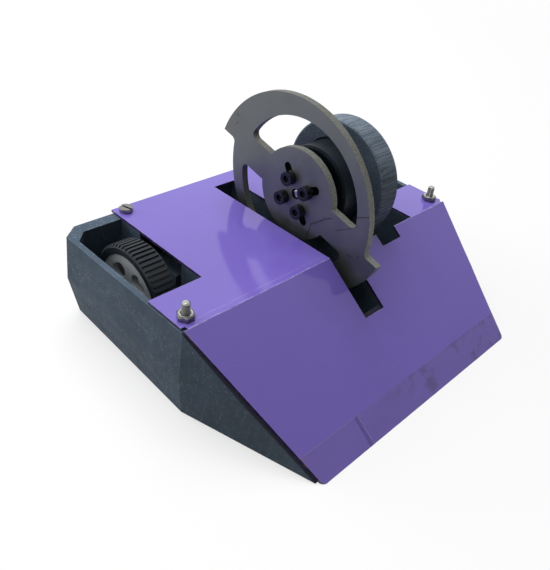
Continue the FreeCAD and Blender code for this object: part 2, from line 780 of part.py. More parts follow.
def make_mount():
    """Round printed mount, recessed round the outrunner's base, on a web with a flanged foot."""
    body = new_body("weapon_motor_mount")
    web = new_sketch(body, "YZ_Plane", "mount_face_x")
    rectangle(web, "web_front_y", "web_rear_y", "floor_top", "disc_axis_height")
    pad(body, web, "mount_thickness + mount_recess")
    disc = new_sketch(body, "YZ_Plane", "mount_face_x")
    circle(disc, "disc_y", "disc_axis_height", "mount_radius")
    pad(body, disc, "mount_thickness + mount_recess")
    recess = new_sketch(body, "YZ_Plane", "mount_face_x")
    circle(recess, "disc_y", "disc_axis_height", "bell_radius + recess_play")
    pocket(body, recess, "mount_recess", back=True)
    foot = new_sketch(body, "XY_Plane", "floor_top")
    rectangle(foot, "foot_left_x", "foot_right_x", "web_front_y", "web_rear_y")
    pad(body, foot, "foot_thickness")
    screws = new_sketch(body, "XY_Plane", "floor_top")
    for x, y in foot_screw_spots():
        circle(screws, x, y, "bolt_radius + seat_clearance")
    pocket(body, screws, "foot_thickness", back=True)
    through = new_sketch(body, "YZ_Plane", "mount_front_x")
    heads = new_sketch(body, "YZ_Plane", "mount_rear_x")
    circle(through, "disc_y", "disc_axis_height", "tube_radius")
    for y, z in base_screw_spots():
        circle(through, y, z, "bolt_hole")
        circle(heads, y, z, "head_hole")
    pocket(body, through, back=True)
    pocket(body, heads, "bolt_head_height")
    top = size("disc_axis_height + mount_radius")
    ends = [size("mount_face_x"), size("mount_rear_x")]

    def on_rim(edge):
        box = edge.BoundBox
        near_end = min(abs(box.XMin - end) for end in ends) < NEAR
        return near_end and abs(box.ZMax - top) < NEAR and box.XLength < NEAR

    fillet(body, "mount_edge", on_rim)


def base_screw_spots():
    """Places, in Y and Z, of the screws that hold the outrunner's base."""
    reach = "base_screw_circle * sin(45)"
    return [(f"disc_y + {right} * {reach}", f"disc_axis_height + {up} * {reach}")
            for right in SIDES.values() for up in SIDES.values()]


# Sub-parts of the outrunner


def rotor_body(name, x="0"):
    """Body on the disc's axis, turned with the disc to its resting angle."""
    body = new_body(name)
    place(body, x, "disc_y", "disc_axis_height", "1; 0; 0", "disc_rest_angle")
    return body


def ring_profile(body, corners):
    """Turned piece from an outline of places along the axis and radii."""
    sketch = new_sketch(body, "XY_Plane")
    polygon(sketch, corners)
    return revolve(body, sketch)


def make_disc():
    """Steel disc of two eccentric halves, whose steps make the two teeth."""
    body = rotor_body("weapon_disc")
    half = new_sketch(body, "YZ_Plane", "disc_left_x")
    inside = "disc_chord - disc_arc_offset * cos(disc_arc_angle)"
    root = (f"-({inside})", "0")
    tip = ("disc_tip_radius", "0")
    edge = arc(half, "disc_arc_offset * cos(disc_arc_angle)", "-disc_side", "disc_arc_radius", tip, root)
    base = line(half, root, tip)
    join(half, (edge, 2, base, 1), (base, 2, edge, 1))
    for point in (1, 2):
        half.addConstraint(Sketcher.Constraint("PointOnObject", base, point, -1))
    repeat(body, pad(body, half, "disc_thickness"), "disc_teeth")

    window = new_sketch(body, "YZ_Plane", "disc_left_x")
    ends = {}
    for ring in ("disc_hub_radius", "window_radius"):
        ends[ring] = ((f"sqrt({ring} ^ 2 - spoke_trail ^ 2)", "spoke_trail"),
                      (f"-sqrt({ring} ^ 2 - spoke_lead ^ 2)", "spoke_lead"))
    inner = arc(window, "0", "0", "disc_hub_radius", *ends["disc_hub_radius"])
    outer = arc(window, "0", "0", "window_radius", *ends["window_radius"])
    trail = line(window, ends["disc_hub_radius"][0], ends["window_radius"][0])
    lead = line(window, ends["disc_hub_radius"][1], ends["window_radius"][1])
    join(window, (trail, 1, inner, 1), (trail, 2, outer, 1), (lead, 1, inner, 2), (lead, 2, outer, 2))
    for side in (trail, lead):
        window.addConstraint(Sketcher.Constraint("Horizontal", side))
    measure(window, "DistanceY", trail, 1, "spoke_trail")
    measure(window, "DistanceY", lead, 1, "spoke_lead")
    repeat(body, pocket(body, window, back=True), "disc_teeth")

    holes = new_sketch(body, "YZ_Plane", "disc_left_x")
    circle(holes, "0", "0", "shaft_radius + seat_clearance")
    pocket(body, holes, back=True)
    slot = new_sketch(body, "YZ_Plane", "disc_left_x", "180 / motor_screws")
    obround(slot, "adjust_slot_start", "adjust_slot_end", "0", "bolt_radius + adjust_slot_play")
    repeat(body, pocket(body, slot, back=True), "motor_screws")

    root_radius = size(inside)
    fillet(body, "tooth_fillet", across_at(lambda y, z: (abs(y) - root_radius) ** 2 + z ** 2 < 1))
    corner = size("window_radius")
    reach = size("spoke_trail")
    fillet(body, "window_fillet", across_at(lambda y, z: abs((y ** 2 + z ** 2) ** 0.5 - corner) < NEAR
                                            and abs(z) < reach + NEAR))


def across_at(wanted):
    """Test for edges that run through a turned body's thickness at a place in its own plane."""
    def test(edge):
        box = edge.BoundBox
        centre = edge.CenterOfMass
        return box.YLength < NEAR and box.ZLength < NEAR and wanted(centre.y, centre.z)
    return test


def obround(sketch, start, end, level, radius):
    """Slot with round ends along the sketch's X axis, between two centres at one level."""
    top = f"{level} + {radius}"
    bottom = f"{level} - ({radius})"
    low = arc(sketch, start, level, radius, (start, top), (start, bottom))
    high = arc(sketch, end, level, radius, (end, bottom), (end, top))
    upper = line(sketch, (end, top), (start, top))
    lower = line(sketch, (start, bottom), (end, bottom))
    join(sketch, (upper, 1, high, 2), (upper, 2, low, 1), (lower, 1, low, 2), (lower, 2, high, 1))
    for geometry, point, x in ((upper, 1, end), (upper, 2, start), (lower, 1, start), (lower, 2, end)):
        measure(sketch, "DistanceX", geometry, point, x)


def make_bell():
    """Outrunner bell: a cup with a spoked face and a boss that the disc bolts to."""
    body = rotor_body("motor_bell")
    inner = "bell_radius - bell_wall"
    ring_profile(body, [("disc_right_x", "shaft_radius + seat_clearance"), ("disc_right_x", "boss_radius"),
                        ("bell_front_x", "boss_radius"), ("bell_front_x", "bell_radius - bell_rim_step"),
                        ("bell_front_x + bell_rim_step", "bell_radius"), ("bell_rear_x", "bell_radius"),
                        ("bell_rear_x", inner), ("bell_front_x + bell_face", inner),
                        ("bell_front_x + bell_face", "shaft_radius + seat_clearance")])
    opening = new_sketch(body, "YZ_Plane", "bell_front_x")
    half_angle = "180 / bell_spokes"
    ends = {}
    for ring in ("boss_radius", "bell_window_radius"):
        across = f"({ring} * sin({half_angle}) - bell_spoke / 2)"
        along = f"sqrt({ring} ^ 2 - {across} ^ 2)"
        ends[ring] = ((along, f"-{across}"), (along, across))
    inner_arc = arc(opening, "0", "0", "boss_radius", *ends["boss_radius"])
    outer_arc = arc(opening, "0", "0", "bell_window_radius", *ends["bell_window_radius"])
    low = line(opening, ends["boss_radius"][0], ends["bell_window_radius"][0])
    high = line(opening, ends["boss_radius"][1], ends["bell_window_radius"][1])
    join(opening, (low, 1, inner_arc, 1), (low, 2, outer_arc, 1))
    join(opening, (high, 1, inner_arc, 2), (high, 2, outer_arc, 2))
    for geometry, ring in ((low, "boss_radius"), (low, "bell_window_radius"),
                           (high, "boss_radius"), (high, "bell_window_radius")):
        point = 1 if ring == "boss_radius" else 2
        measure(opening, "DistanceY", geometry, point, ends[ring][0 if geometry == low else 1][1])
    repeat(body, pocket(body, opening, "bell_face", back=True), "bell_spokes")
    tapped = new_sketch(body, "YZ_Plane", "disc_right_x", "180 / motor_screws")
    circle(tapped, "disc_screw_circle", "0", "bolt_radius + seat_clearance")
    repeat(body, pocket(body, tapped, "boss_length", back=True), "motor_screws")


def make_magnets():
    """Magnets evenly spaced inside the bell's wall."""
    body = rotor_body("bell_magnets")
    sketch = new_sketch(body, "YZ_Plane", "bell_front_x + bell_face + base_gap")
    outer = "(bell_radius - bell_wall - seat_clearance)"
    ends = {}
    for ring in ("magnet_inner", outer):
        across = f"({ring} * sin(180 / magnets) - magnet_gap / 2)"
        along = f"sqrt({ring} ^ 2 - {across} ^ 2)"
        ends[ring] = ((along, f"-{across}"), (along, across))
    inner_arc = arc(sketch, "0", "0", "magnet_inner", *ends["magnet_inner"])
    outer_arc = arc(sketch, "0", "0", outer, *ends[outer])
    low = line(sketch, ends["magnet_inner"][0], ends[outer][0])
    high = line(sketch, ends["magnet_inner"][1], ends[outer][1])
    join(sketch, (low, 1, inner_arc, 1), (low, 2, outer_arc, 1))
    join(sketch, (high, 1, inner_arc, 2), (high, 2, outer_arc, 2))
    for geometry, index in ((low, 0), (high, 1)):
        for point, ring in ((1, "magnet_inner"), (2, outer)):
            measure(sketch, "DistanceY", geometry, point, ends[ring][index][1])
    magnet = pad(body, sketch, "bell_length - bell_face - 2 * base_gap")
    repeat(body, magnet, "magnets")


def make_shaft():
    """Steel shaft that turns with the bell."""
    keep("motor_shaft", bar("motor_shaft", "shaft_radius", "shaft_end_x - disc_left_x - shaft_recess",
                            "disc_left_x + shaft_recess", "disc_y", "disc_axis_height", "+X"))


def make_disc_screws():
    """Screws through the disc's slots into the bell."""
    solids = []
    for index in range(DIMENSIONS["motor_screws"]):
        angle = f"(disc_rest_angle + (180 + 360 * {index}) / motor_screws)"
        y = f"disc_y + disc_screw_circle * cos{angle}"
        z = f"disc_axis_height + disc_screw_circle * sin{angle}"
        solids.append(cap_screw(f"disc_screw_{index}", "disc_thickness + boss_length - bolt_radius",
                                "disc_left_x", y, z, "+X"))
    group("disc_screws", solids)


def stator_body(name):
    """Body on the disc's axis that stays still."""
    body = new_body(name)
    place(body, "0", "disc_y", "disc_axis_height")
    return body


def make_base():
    """Outrunner's base plate with the tube that holds the bearings."""
    body = stator_body("motor_base")
    bore = "bearing_radius + seat_clearance"
    ring_profile(body, [("base_front_x - tube_length", bore), ("base_front_x - tube_length", "tube_radius"),
                        ("base_front_x", "tube_radius"), ("base_front_x", "base_radius"),
                        ("mount_front_x", "base_radius"), ("mount_front_x", bore)])
    tapped = new_sketch(body, "YZ_Plane", "base_front_x", "180 / motor_screws")
    circle(tapped, "base_screw_circle", "0", "bolt_radius + seat_clearance")
    repeat(body, pocket(body, tapped, "base_thickness", back=True), "motor_screws")


def make_bearings():
    """Two ball bearings in the ends of the base's tube."""
    rings = []
    for index, start in enumerate(("base_front_x - tube_length", "mount_front_x - bearing_width")):
        outer = bar(f"bearing_{index}_outer", "bearing_radius", "bearing_width", start, "disc_y",
                    "disc_axis_height", "+X")
        bore = bar(f"bearing_{index}_bore", "shaft_radius + running_clearance", "bearing_width", start,
                   "disc_y", "disc_axis_height", "+X")
        rings.append(cut(f"bearing_{index}", outer, bore))
    group("motor_bearings", rings)


def make_stator():
    """Toothed core on the bearing tube, with a coil on every tooth."""
    body = stator_body("stator_core")
    start = "stator_middle_x - stator_length / 2"
    end = "stator_middle_x + stator_length / 2"
    inner = "tube_radius + seat_clearance"
    ring_profile(body, [(start, inner), (start, "yoke_radius"), (end, "yoke_radius"), (end, inner)])
    tooth = new_sketch(body, "YZ_Plane", start)
    neck = "stator_radius - tooth_head"
    crown = "sqrt(stator_radius ^ 2 - tooth_head_width ^ 2 / 4)"
    polygon(tooth, [("yoke_radius - stator_yoke / 2", "-tooth_width / 2"), (neck, "-tooth_width / 2"),
                    (crown, "-tooth_head_width / 2"), ("stator_radius", "0"), (crown, "tooth_head_width / 2"),
                    (neck, "tooth_width / 2"), ("yoke_radius - stator_yoke / 2", "tooth_width / 2")])
    repeat(body, pad(body, tooth, "stator_length"), "stator_teeth")

    coils = stator_body("stator_coils")
    wound = new_sketch(coils, "XY_Plane")
    core = new_sketch(coils, "XY_Plane")
    low = "yoke_radius + coil_build / 2"
    high = "stator_radius - tooth_head - coil_build / 2"
    rectangle(wound, f"{start} - coil_end", f"{end} + coil_end", low, high)
    rectangle(core, start, end, low, high)
    coil = pad(coils, wound, "tooth_width + 2 * coil_build", both=True)
    opening = pocket(coils, core, "tooth_width", both=True)
    pattern = repeat(coils, coil, "stator_teeth")
    pattern.Originals = [coil, opening]
    doc.recompute()


def make_base_screws():
    """Screws from the mount's back into the outrunner's base."""
    solids = []
    for index, (y, z) in enumerate(base_screw_spots()):
        solids.append(cap_screw(f"base_screw_{index}", "mount_thickness - bolt_head_height + base_thickness",
                                "mount_rear_x - bolt_head_height", y, z, "-X"))
    group("motor_base_screws", solids)


def make_mount_screws():
    """Flat-headed screws from under the floor into the mount's foot."""
    solids = []
    for index, (x, y) in enumerate(foot_screw_spots()):
        name = f"mount_screw_{index}"
        shank = bar(name + "_shank", "bolt_radius", "mount_screw_length", x, y, "ground_clearance")
        head = cone(name + "_head", "bolt_head_radius", "bolt_radius", "bolt_head_radius - bolt_radius", x, y,
                    "ground_clearance")
        socket = hexagon(name + "_socket", "sunk_socket", "sunk_socket_depth", x, y, "ground_clearance")
        solids.append(cut(name, fused(name + "_blank", shank, head), socket))
    group("mount_screws", solids)


# Sub-parts of the panel's fixing


def nut_blank(name, x, y, z):
    """Six-sided block whose corners are turned off at both ends."""
    rise = f"{z} + nut_height - nut_chamfer"
    low = cone(name + "_low", "nut_face", "nut_radius", "nut_chamfer", x, y, z)
    middle = bar(name + "_middle", "nut_radius", "nut_height - 2 * nut_chamfer", x, y, f"{z} + nut_chamfer")
    high = cone(name + "_high", "nut_radius", "nut_face", "nut_chamfer", x, y, rise)
    turned = fused(name + "_turned", low, middle, high)
    return common(name, hexagon(name + "_hexagon", "nut_radius", "nut_height", x, y, z), turned)


def make_panel_fixings():
    """Bolts from below with nuts at the front tabs, and slotted screws at the rear."""
    bolts = []
    nuts = []
    screws = []
    for word, side in SIDES.items():
        x = f"{side} * stud_x"
        over_nut = "deck_height + nut_height"
        name = f"front_stud_{word}"
        shank = cap_screw(name + "_shank", f"{over_nut} - stud_head_z", x, "stud_y", "stud_head_z", "+Z")
        thread = bar(name + "_thread", "thread_radius", "stud_end - thread_tip", x, "stud_y", over_nut)
        tip = cone(name + "_tip", "thread_radius", "thread_radius - thread_tip", "thread_tip", x, "stud_y",
                   f"{over_nut} + stud_end - thread_tip")
        bolts.append(fused(name, shank, thread, tip))
        name = f"front_nut_{word}"
        spot = (x, "stud_y", "deck_height")
        bore = bar(name + "_bore", "bolt_radius + seat_clearance", "nut_height", *spot)
        nuts.append(cut(name, nut_blank(name + "_blank", *spot), bore))
        name = f"rear_screw_{word}"
        x = f"{side} * rear_screw_x"
        spot = (x, "rear_screw_y", "deck_height")
        head = bar(name + "_head", "cheese_radius", "cheese_height", *spot)
        shank = bar(name + "_shank", "bolt_radius", "rear_screw_length", *spot, "-Z")
        along = "cheese_radius * {}(cheese_slot_turn)"
        across = "cheese_slot / 2 * {}(cheese_slot_turn)"
        slot = block(name + "_slot", f"{x} - {along.format('cos')} + {across.format('sin')}",
                     f"rear_screw_y - {along.format('sin')} - {across.format('cos')}",
                     "deck_height + cheese_height - cheese_slot_depth", "2 * cheese_radius", "cheese_slot",
                     "cheese_slot_depth", angle="cheese_slot_turn")
        screws.append(cut(name, fused(name + "_blank", head, shank), slot))
    group("front_studs", bolts)
    group("front_nuts", nuts)
    group("rear_screws", screws)


# Sub-parts of each wheel and its drive


def wheel_body(name, side):
    """Body on a wheel's axis whose +X points outwards from the wheel's inner face."""
    body = new_body(name)
    place(body, f"{side} * wheel_inner_x", "wheel_y", "wheel_radius", "0; 0; 1", f"90 - {side} * 90")
    return body


def make_tyre(word, side):
    """Rubber tyre with ribs across its tread."""
    body = wheel_body(f"{word}_tyre", side)
    inner = "rim_radius + seat_clearance"
    low = "wheel_radius - tread_shoulder"
    ring_profile(body, [("0", inner), ("0", low), ("tread_shoulder", "wheel_radius"),
                        ("wheel_width - tread_shoulder", "wheel_radius"), ("wheel_width", low),
                        ("wheel_width", inner)])
    groove = new_sketch(body, "YZ_Plane", turn="180 / tread_ribs")
    rectangle(groove, "wheel_radius - tread_depth", "wheel_radius + tread_depth", "-tread_groove / 2",
              "tread_groove / 2")
    repeat(body, pocket(body, groove, back=True), "tread_ribs")


def make_rim(word, side):
    """Moulded rim with a holed web near its outer face."""
    body = wheel_body(f"{word}_rim", side)
    outer = "wheel_width - rim_inset"
    web = f"{outer} - rim_web"
    bore = "axle_radius + seat_clearance"
    ring_profile(body, [("rim_inset", "rim_radius - rim_wall"), ("rim_inset", "rim_radius"),
                        (outer, "rim_radius"), (outer, bore), ("0", bore), ("0", "hub_radius"),
                        (web, "hub_radius"), (web, "rim_radius - rim_wall")])
    hole = new_sketch(body, "YZ_Plane", "wheel_width", "180")
    obround(hole, "-rim_hole_spread", "rim_hole_spread", "rim_hole_circle", "rim_hole_radius")
    repeat(body, pocket(body, hole, "rim_web + 2 * rim_inset"), "rim_holes")


def make_axle(word, side):
    """Output shaft with a flat, from inside the gearbox to the rim's outer face."""
    body = wheel_body(f"{word}_output_shaft", side)
    start = "-wheel_gap - axle_depth"
    section = new_sketch(body, "YZ_Plane", start)
    circle(section, "0", "0", "axle_radius")
    pad(body, section, "wheel_gap + axle_depth + wheel_width - rim_inset")
    flat = new_sketch(body, "YZ_Plane", "0")
    rectangle(flat, "-axle_radius", "axle_radius", "axle_radius - axle_flat", "axle_radius")
    pocket(body, flat, "wheel_width", back=True)


def make_gearmotor(word, side):
    """Closed gearbox, motor can behind it, and the strap that holds them on the cradle."""
    middle = "wheel_radius"
    gearbox = new_body(f"{word}_gearbox")
    section = new_sketch(gearbox, "YZ_Plane", f"{side} * gearbox_rear_x")
    rectangle(section, "wheel_y - gearbox_width / 2", "wheel_y + gearbox_width / 2",
              f"{middle} - gearbox_height / 2", f"{middle} + gearbox_height / 2")
    pad(gearbox, section, "gearbox_length", back=side < 0)
    bore = new_sketch(gearbox, "YZ_Plane", f"{side} * gearbox_front_x")
    circle(bore, "wheel_y", middle, "axle_radius + running_clearance")
    pocket(gearbox, bore, "axle_depth + running_clearance", back=side < 0)

    can = new_body(f"{word}_drive_motor")
    section = new_sketch(can, "YZ_Plane", f"{side} * gearbox_rear_x")
    rectangle(section, "wheel_y - gearbox_width / 2", "wheel_y + gearbox_width / 2",
              f"{middle} - gearbox_height / 2", f"{middle} + gearbox_height / 2")
    pad(can, section, "motor_length", back=side > 0)
    fillet(can, "motor_corner", lambda edge: edge.BoundBox.XLength > size("motor_length") / 2)
    cap = new_sketch(can, "YZ_Plane", f"{side} * motor_rear_x")
    circle(cap, "wheel_y", middle, "motor_cap_radius")
    pad(can, cap, "motor_cap", back=side > 0)

    strap = new_body(f"{word}_motor_strap")
    start = f"{side} * (gearbox_front_x - strap_start)"
    over = "gearbox_height + cradle_top + seat_clearance"
    near = "gearbox_width / 2 + seat_clearance"
    section = new_sketch(strap, "YZ_Plane", start)
    outline = [("foot", "cradle_top"), ("near", "cradle_top"), ("near", over)]
    reach = {"foot": f"({near} + strap_thickness + strap_foot)", "near": f"({near})",
             "wall": f"({near} + strap_thickness)"}
    rise = {"cradle_top": "cradle_top", over: over, "foot": "cradle_top + strap_thickness",
            "top": f"{over} + strap_thickness"}
    path = outline + [("wall", "top"), ("wall", "foot"), ("foot", "foot")]
    left = [(f"wheel_y - {reach[across]}", rise[up]) for across, up in path]
    right = [(f"wheel_y + {reach[across]}", rise[up]) for across, up in path]
    polygon(section, left[:3] + right[2::-1] + right[:2:-1] + left[3:])
    pad(strap, section, "strap_length", back=side > 0)
    holes = new_sketch(strap, "XY_Plane", "cradle_top")
    for x, y in strap_screw_spots(side):
        circle(holes, x, y, "small_screw_radius + seat_clearance")
    pocket(strap, holes, "strap_thickness", back=True)


def make_strap_screws():
    """Small slotted screws that hold both motor straps."""
    solids = []
    for word, side in SIDES.items():
        for index, (x, y) in enumerate(strap_screw_spots(side)):
            name = f"strap_screw_{word}_{index}"
            seat = "cradle_top + strap_thickness"
            head = bar(name + "_head", "small_head_radius", "small_head_height", x, y, seat)
            shank = bar(name + "_shank", "small_screw_radius", "small_screw_length", x, y, seat, "-Z")
            slot = block(name + "_slot", f"{x} - small_head_radius", f"{y} - small_slot / 2",
                         f"{seat} + small_head_height / 2", "2 * small_head_radius", "small_slot",
                         "small_head_height / 2")
            solids.append(cut(name, fused(name + "_blank", head, shank), slot))
    group("strap_screws", solids)


# Battery and electronics


def make_battery():
    """Soft-cased pack with rounded long edges."""
    body = new_body("battery_pack")
    rear = "wheel_y - cradle_half - bay_gap"
    left = "-divider_inner_x + bay_gap"
    outline = new_sketch(body, "XY_Plane", "floor_top")
    rectangle(outline, left, f"{left} + battery_width", f"{rear} - battery_length", rear)
    pad(body, outline, "battery_height")
    fillet(body, "battery_corner", lambda edge: edge.BoundBox.YLength > size("battery_length") / 2)


def make_board(name, x, y, width, length, height):
    """Circuit board on the floor with a cased block of parts on it."""
    board = block(name + "_board", x, y, "floor_top", width, length, "board_thickness")
    case = block(name + "_case", f"{x} + part_margin", f"{y} + part_margin", "floor_top + board_thickness",
                 f"{width} - 2 * part_margin", f"{length} - 2 * part_margin", height)
    keep(name, fused(name, board, case))


def make_electronics():
    """Speed controllers and receiver, each on the floor of its bay."""
    make_board("weapon_speed_controller", "bay_right_x + bay_gap",
               "block_front_y - bay_gap - controller_length", "controller_width", "controller_length",
               "controller_height")
    behind = "wheel_y + cradle_half + bay_gap"
    make_board("drive_speed_controller", "bay_right_x + bay_gap", behind, "driver_width", "driver_length",
               "driver_height")
    make_board("receiver", "bay_left_x - bay_gap - receiver_width", behind, "receiver_width",
               "receiver_length", "receiver_height")


def build():
    """Makes every sub-part."""
    fill_sheet()
    make_chassis()
    make_panel()
    make_mount()
    make_disc()
    make_bell()
    make_magnets()
    make_shaft()
    make_disc_screws()
    make_base()
    make_bearings()
    make_stator()
    make_base_screws()
    make_mount_screws()
    make_panel_fixings()
    for word, side in SIDES.items():
        make_tyre(word, side)
        make_rim(word, side)
        make_axle(word, side)
        make_gearmotor(word, side)
    make_strap_screws()
    make_battery()
    make_electronics()
    doc.recompute()


def export():
    """Checks every object and writes each sub-part's solids."""
    for piece in doc.Objects:
        if "Invalid" in piece.State or "Error" in piece.State:
            raise ValueError(f"{piece.Label} failed: {piece.State}")
    for name, piece in nodes.items():
        if piece.Shape.isNull() or not piece.Shape.isValid():
            raise ValueError(f"{name} has no valid shape")
    os.makedirs("parts", exist_ok=True)
    for name, piece in nodes.items():
        piece.Shape.exportStep(f"parts/{name}.step")
        box = piece.Shape.BoundBox
        print(f"{name}: {len(piece.Shape.Solids)} solids, {piece.Shape.Volume:.1f} mm3, "
              f"{box.XLength:.2f} x {box.YLength:.2f} x {box.ZLength:.2f} mm")


build()
export()
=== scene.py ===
"""Finishes, fine shapes and studio of a small combat robot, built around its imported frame.

Everything is in metres, in the frame's own axes: +X to the robot's right, +Y to its rear, +Z up.
"""

import logging
import math
from collections.abc import Iterable
from dataclasses import dataclass
from enum import Enum
from functools import cache

import bmesh
import bpy
from bpy.types import Material, Node, NodeSocket as Socket, NodeTree, Object
from mathutils import Matrix, Vector

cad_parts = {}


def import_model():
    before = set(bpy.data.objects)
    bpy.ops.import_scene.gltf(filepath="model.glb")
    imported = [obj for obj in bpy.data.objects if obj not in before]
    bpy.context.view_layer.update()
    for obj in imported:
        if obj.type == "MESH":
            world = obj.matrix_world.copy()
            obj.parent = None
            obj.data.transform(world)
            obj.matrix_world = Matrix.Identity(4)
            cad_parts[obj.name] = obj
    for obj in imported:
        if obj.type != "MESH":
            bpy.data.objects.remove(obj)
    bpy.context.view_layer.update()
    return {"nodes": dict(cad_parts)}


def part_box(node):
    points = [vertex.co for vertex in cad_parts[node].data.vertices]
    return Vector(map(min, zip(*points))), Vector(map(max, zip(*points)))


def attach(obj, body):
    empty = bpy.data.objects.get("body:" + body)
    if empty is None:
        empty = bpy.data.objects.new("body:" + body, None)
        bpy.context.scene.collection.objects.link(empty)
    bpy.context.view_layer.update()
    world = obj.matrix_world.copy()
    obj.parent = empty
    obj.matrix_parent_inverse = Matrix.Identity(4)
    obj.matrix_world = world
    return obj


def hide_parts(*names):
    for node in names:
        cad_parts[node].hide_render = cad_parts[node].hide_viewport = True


LOG = logging.getLogger("combat_robot")
MM = 0.001
MERGE = 0.001 * MM

# Turns between faces: they join under FLAT_DEG, are softened past SOFT_DEG and stay sharp past SHARP_DEG.
FLAT_DEG = 0.6
SOFT_DEG = 35.0
SHARP_DEG = 38.0

Pair = tuple[float, float]
Triple = tuple[float, float, float]

WHITE = (1.0, 1.0, 1.0)
RIGHT = (1.0, 0.0, 0.0)
UP = (0.0, 0.0, 1.0)


def scaled(values: tuple[float, ...], factor: float) -> tuple[float, ...]:
    """Numbers, such as a colour's parts, times a factor."""
    return tuple(factor * value for value in values)


class Net:
    """Hand for placing and linking the nodes of one shader tree."""

    def __init__(self, tree: NodeTree) -> None:
        """Takes the tree to work in."""
        self.tree = tree

    def feed(self, socket: Socket, value: object) -> None:
        """Links a socket to an output, or sets its value.

        Args:
            socket: The input to feed.
            value: Another node's output, a number, a vector or a colour.
        """
        if isinstance(value, Socket):
            self.tree.links.new(value, socket)
        elif socket.type == "RGBA" and len(value) == 3:
            socket.default_value = (*value, 1.0)
        else:
            socket.default_value = value

    def node(self, kind: str, inputs: dict | None = None, **settings: object) -> Node:
        """Places a node.

        Args:
            kind: The node's type name.
            inputs: Values or outputs by socket name or number.
            **settings: The node's own options.

        Returns:
            The new node.
        """
        made = self.tree.nodes.new(kind)
        for key, value in settings.items():
            setattr(made, key, value)
        for key, value in (inputs or {}).items():
            self.feed(made.inputs[key], value)
        return made

    def math(self, operation: str, first: object, second: object = 0.0) -> Socket:
        """Result of one sum on two values."""
        return self.node("ShaderNodeMath", {0: first, 1: second}, operation=operation).outputs[0]

    def times(self, first: object, second: object) -> Socket:
        """Product of two values."""
        return self.math("MULTIPLY", first, second)

    def plus(self, first: object, second: object) -> Socket:
        """Sum of two values."""
        return self.math("ADD", first, second)

    def minus(self, first: object, second: object) -> Socket:
        """Difference of two values."""
        return self.math("SUBTRACT", first, second)

    def apart(self, first: object, second: object) -> Socket:
        """How far two values are apart."""
        return self.math("ABSOLUTE", self.minus(first, second))

    def larger(self, first: object, second: object) -> Socket:
        """The larger of two values."""
        return self.math("MAXIMUM", first, second)

    def past(self, value: object, limit: float) -> Socket:
        """One where a value is over a limit, and zero elsewhere."""
        return self.math("GREATER_THAN", value, limit)

    def mix(self, factor: object, first: object, second: object, blend: str = "MIX") -> Socket:
        """Colour between two others."""
        inputs = {0: factor, 6: first, 7: second}
        return self.node("ShaderNodeMix", inputs, data_type="RGBA", blend_type=blend).outputs[2]

    def blend(self, factor: object, first: object, second: object) -> Socket:
        """Number between two others."""
        return self.node("ShaderNodeMix", {0: factor, 2: first, 3: second}).outputs[0]

    def band(self, value: object, low: object, high: object, to_low: float = 0.0,
             to_high: float = 1.0) -> Socket:
        """Smooth step of a value from one range to another."""
        inputs = dict(enumerate((value, low, high, to_low, to_high)))
        return self.node("ShaderNodeMapRange", inputs, interpolation_type="SMOOTHSTEP").outputs[0]

    def noise(self, place: object, scale: object, detail: float = 4.0, roughness: float = 0.55) -> Socket:
        """Value of a cloud texture."""
        inputs = {"Vector": place, "Scale": scale, "Detail": detail, "Roughness": roughness}
        return self.node("ShaderNodeTexNoise", inputs).outputs["Fac"]

    def place(self, scale: Triple = WHITE, turn: Triple = (0, 0, 0), shift: Triple = (0, 0, 0)) -> Socket:
        """Object coordinates, stretched, turned and then moved."""
        inputs = {0: self.node("ShaderNodeTexCoord").outputs["Object"], 1: shift, 2: turn, 3: scale}
        return self.node("ShaderNodeMapping", inputs).outputs[0]

    def facing(self, direction: Triple) -> Socket:
        """How far the surface faces a direction of the object, from -1 to 1."""
        normal = self.node("ShaderNodeTexCoord").outputs["Normal"]
        return self.vector("DOT_PRODUCT", normal, direction)

    def vector(self, operation: str, first: object, second: object = (0.0, 0.0, 0.0)) -> Socket:
        """Vector or number that one sum on two vectors gives."""
        made = self.node("ShaderNodeVectorMath", {0: first, 1: second}, operation=operation)
        return next(output for output in made.outputs if output.enabled)

    def split(self, vector: Socket) -> list[Socket]:
        """The three parts of a vector."""
        return list(self.node("ShaderNodeSeparateXYZ", {0: vector}).outputs)

    def bump(self, height: object, distance: float, strength: float) -> Socket:
        """Normal bent by a height."""
        inputs = {"Height": height, "Distance": distance, "Strength": strength}
        return self.node("ShaderNodeBump", inputs).outputs[0]

    def shade(self, inputs: dict[str, object]) -> None:
        """Feeds the material's own shader."""
        for name, value in inputs.items():
            self.feed(self.tree.nodes["Principled BSDF"].inputs[name], value)


class Effect(Enum):
    """Surface effects that several finishes share, each one node group."""

    SPECKS = "scattered_specks"
    BLOTCHES = "soft_blotches"
    EDGES = "worn_edges"
    HAIRLINES = "hairline_scratches"
    STROKE = "single_stroke"


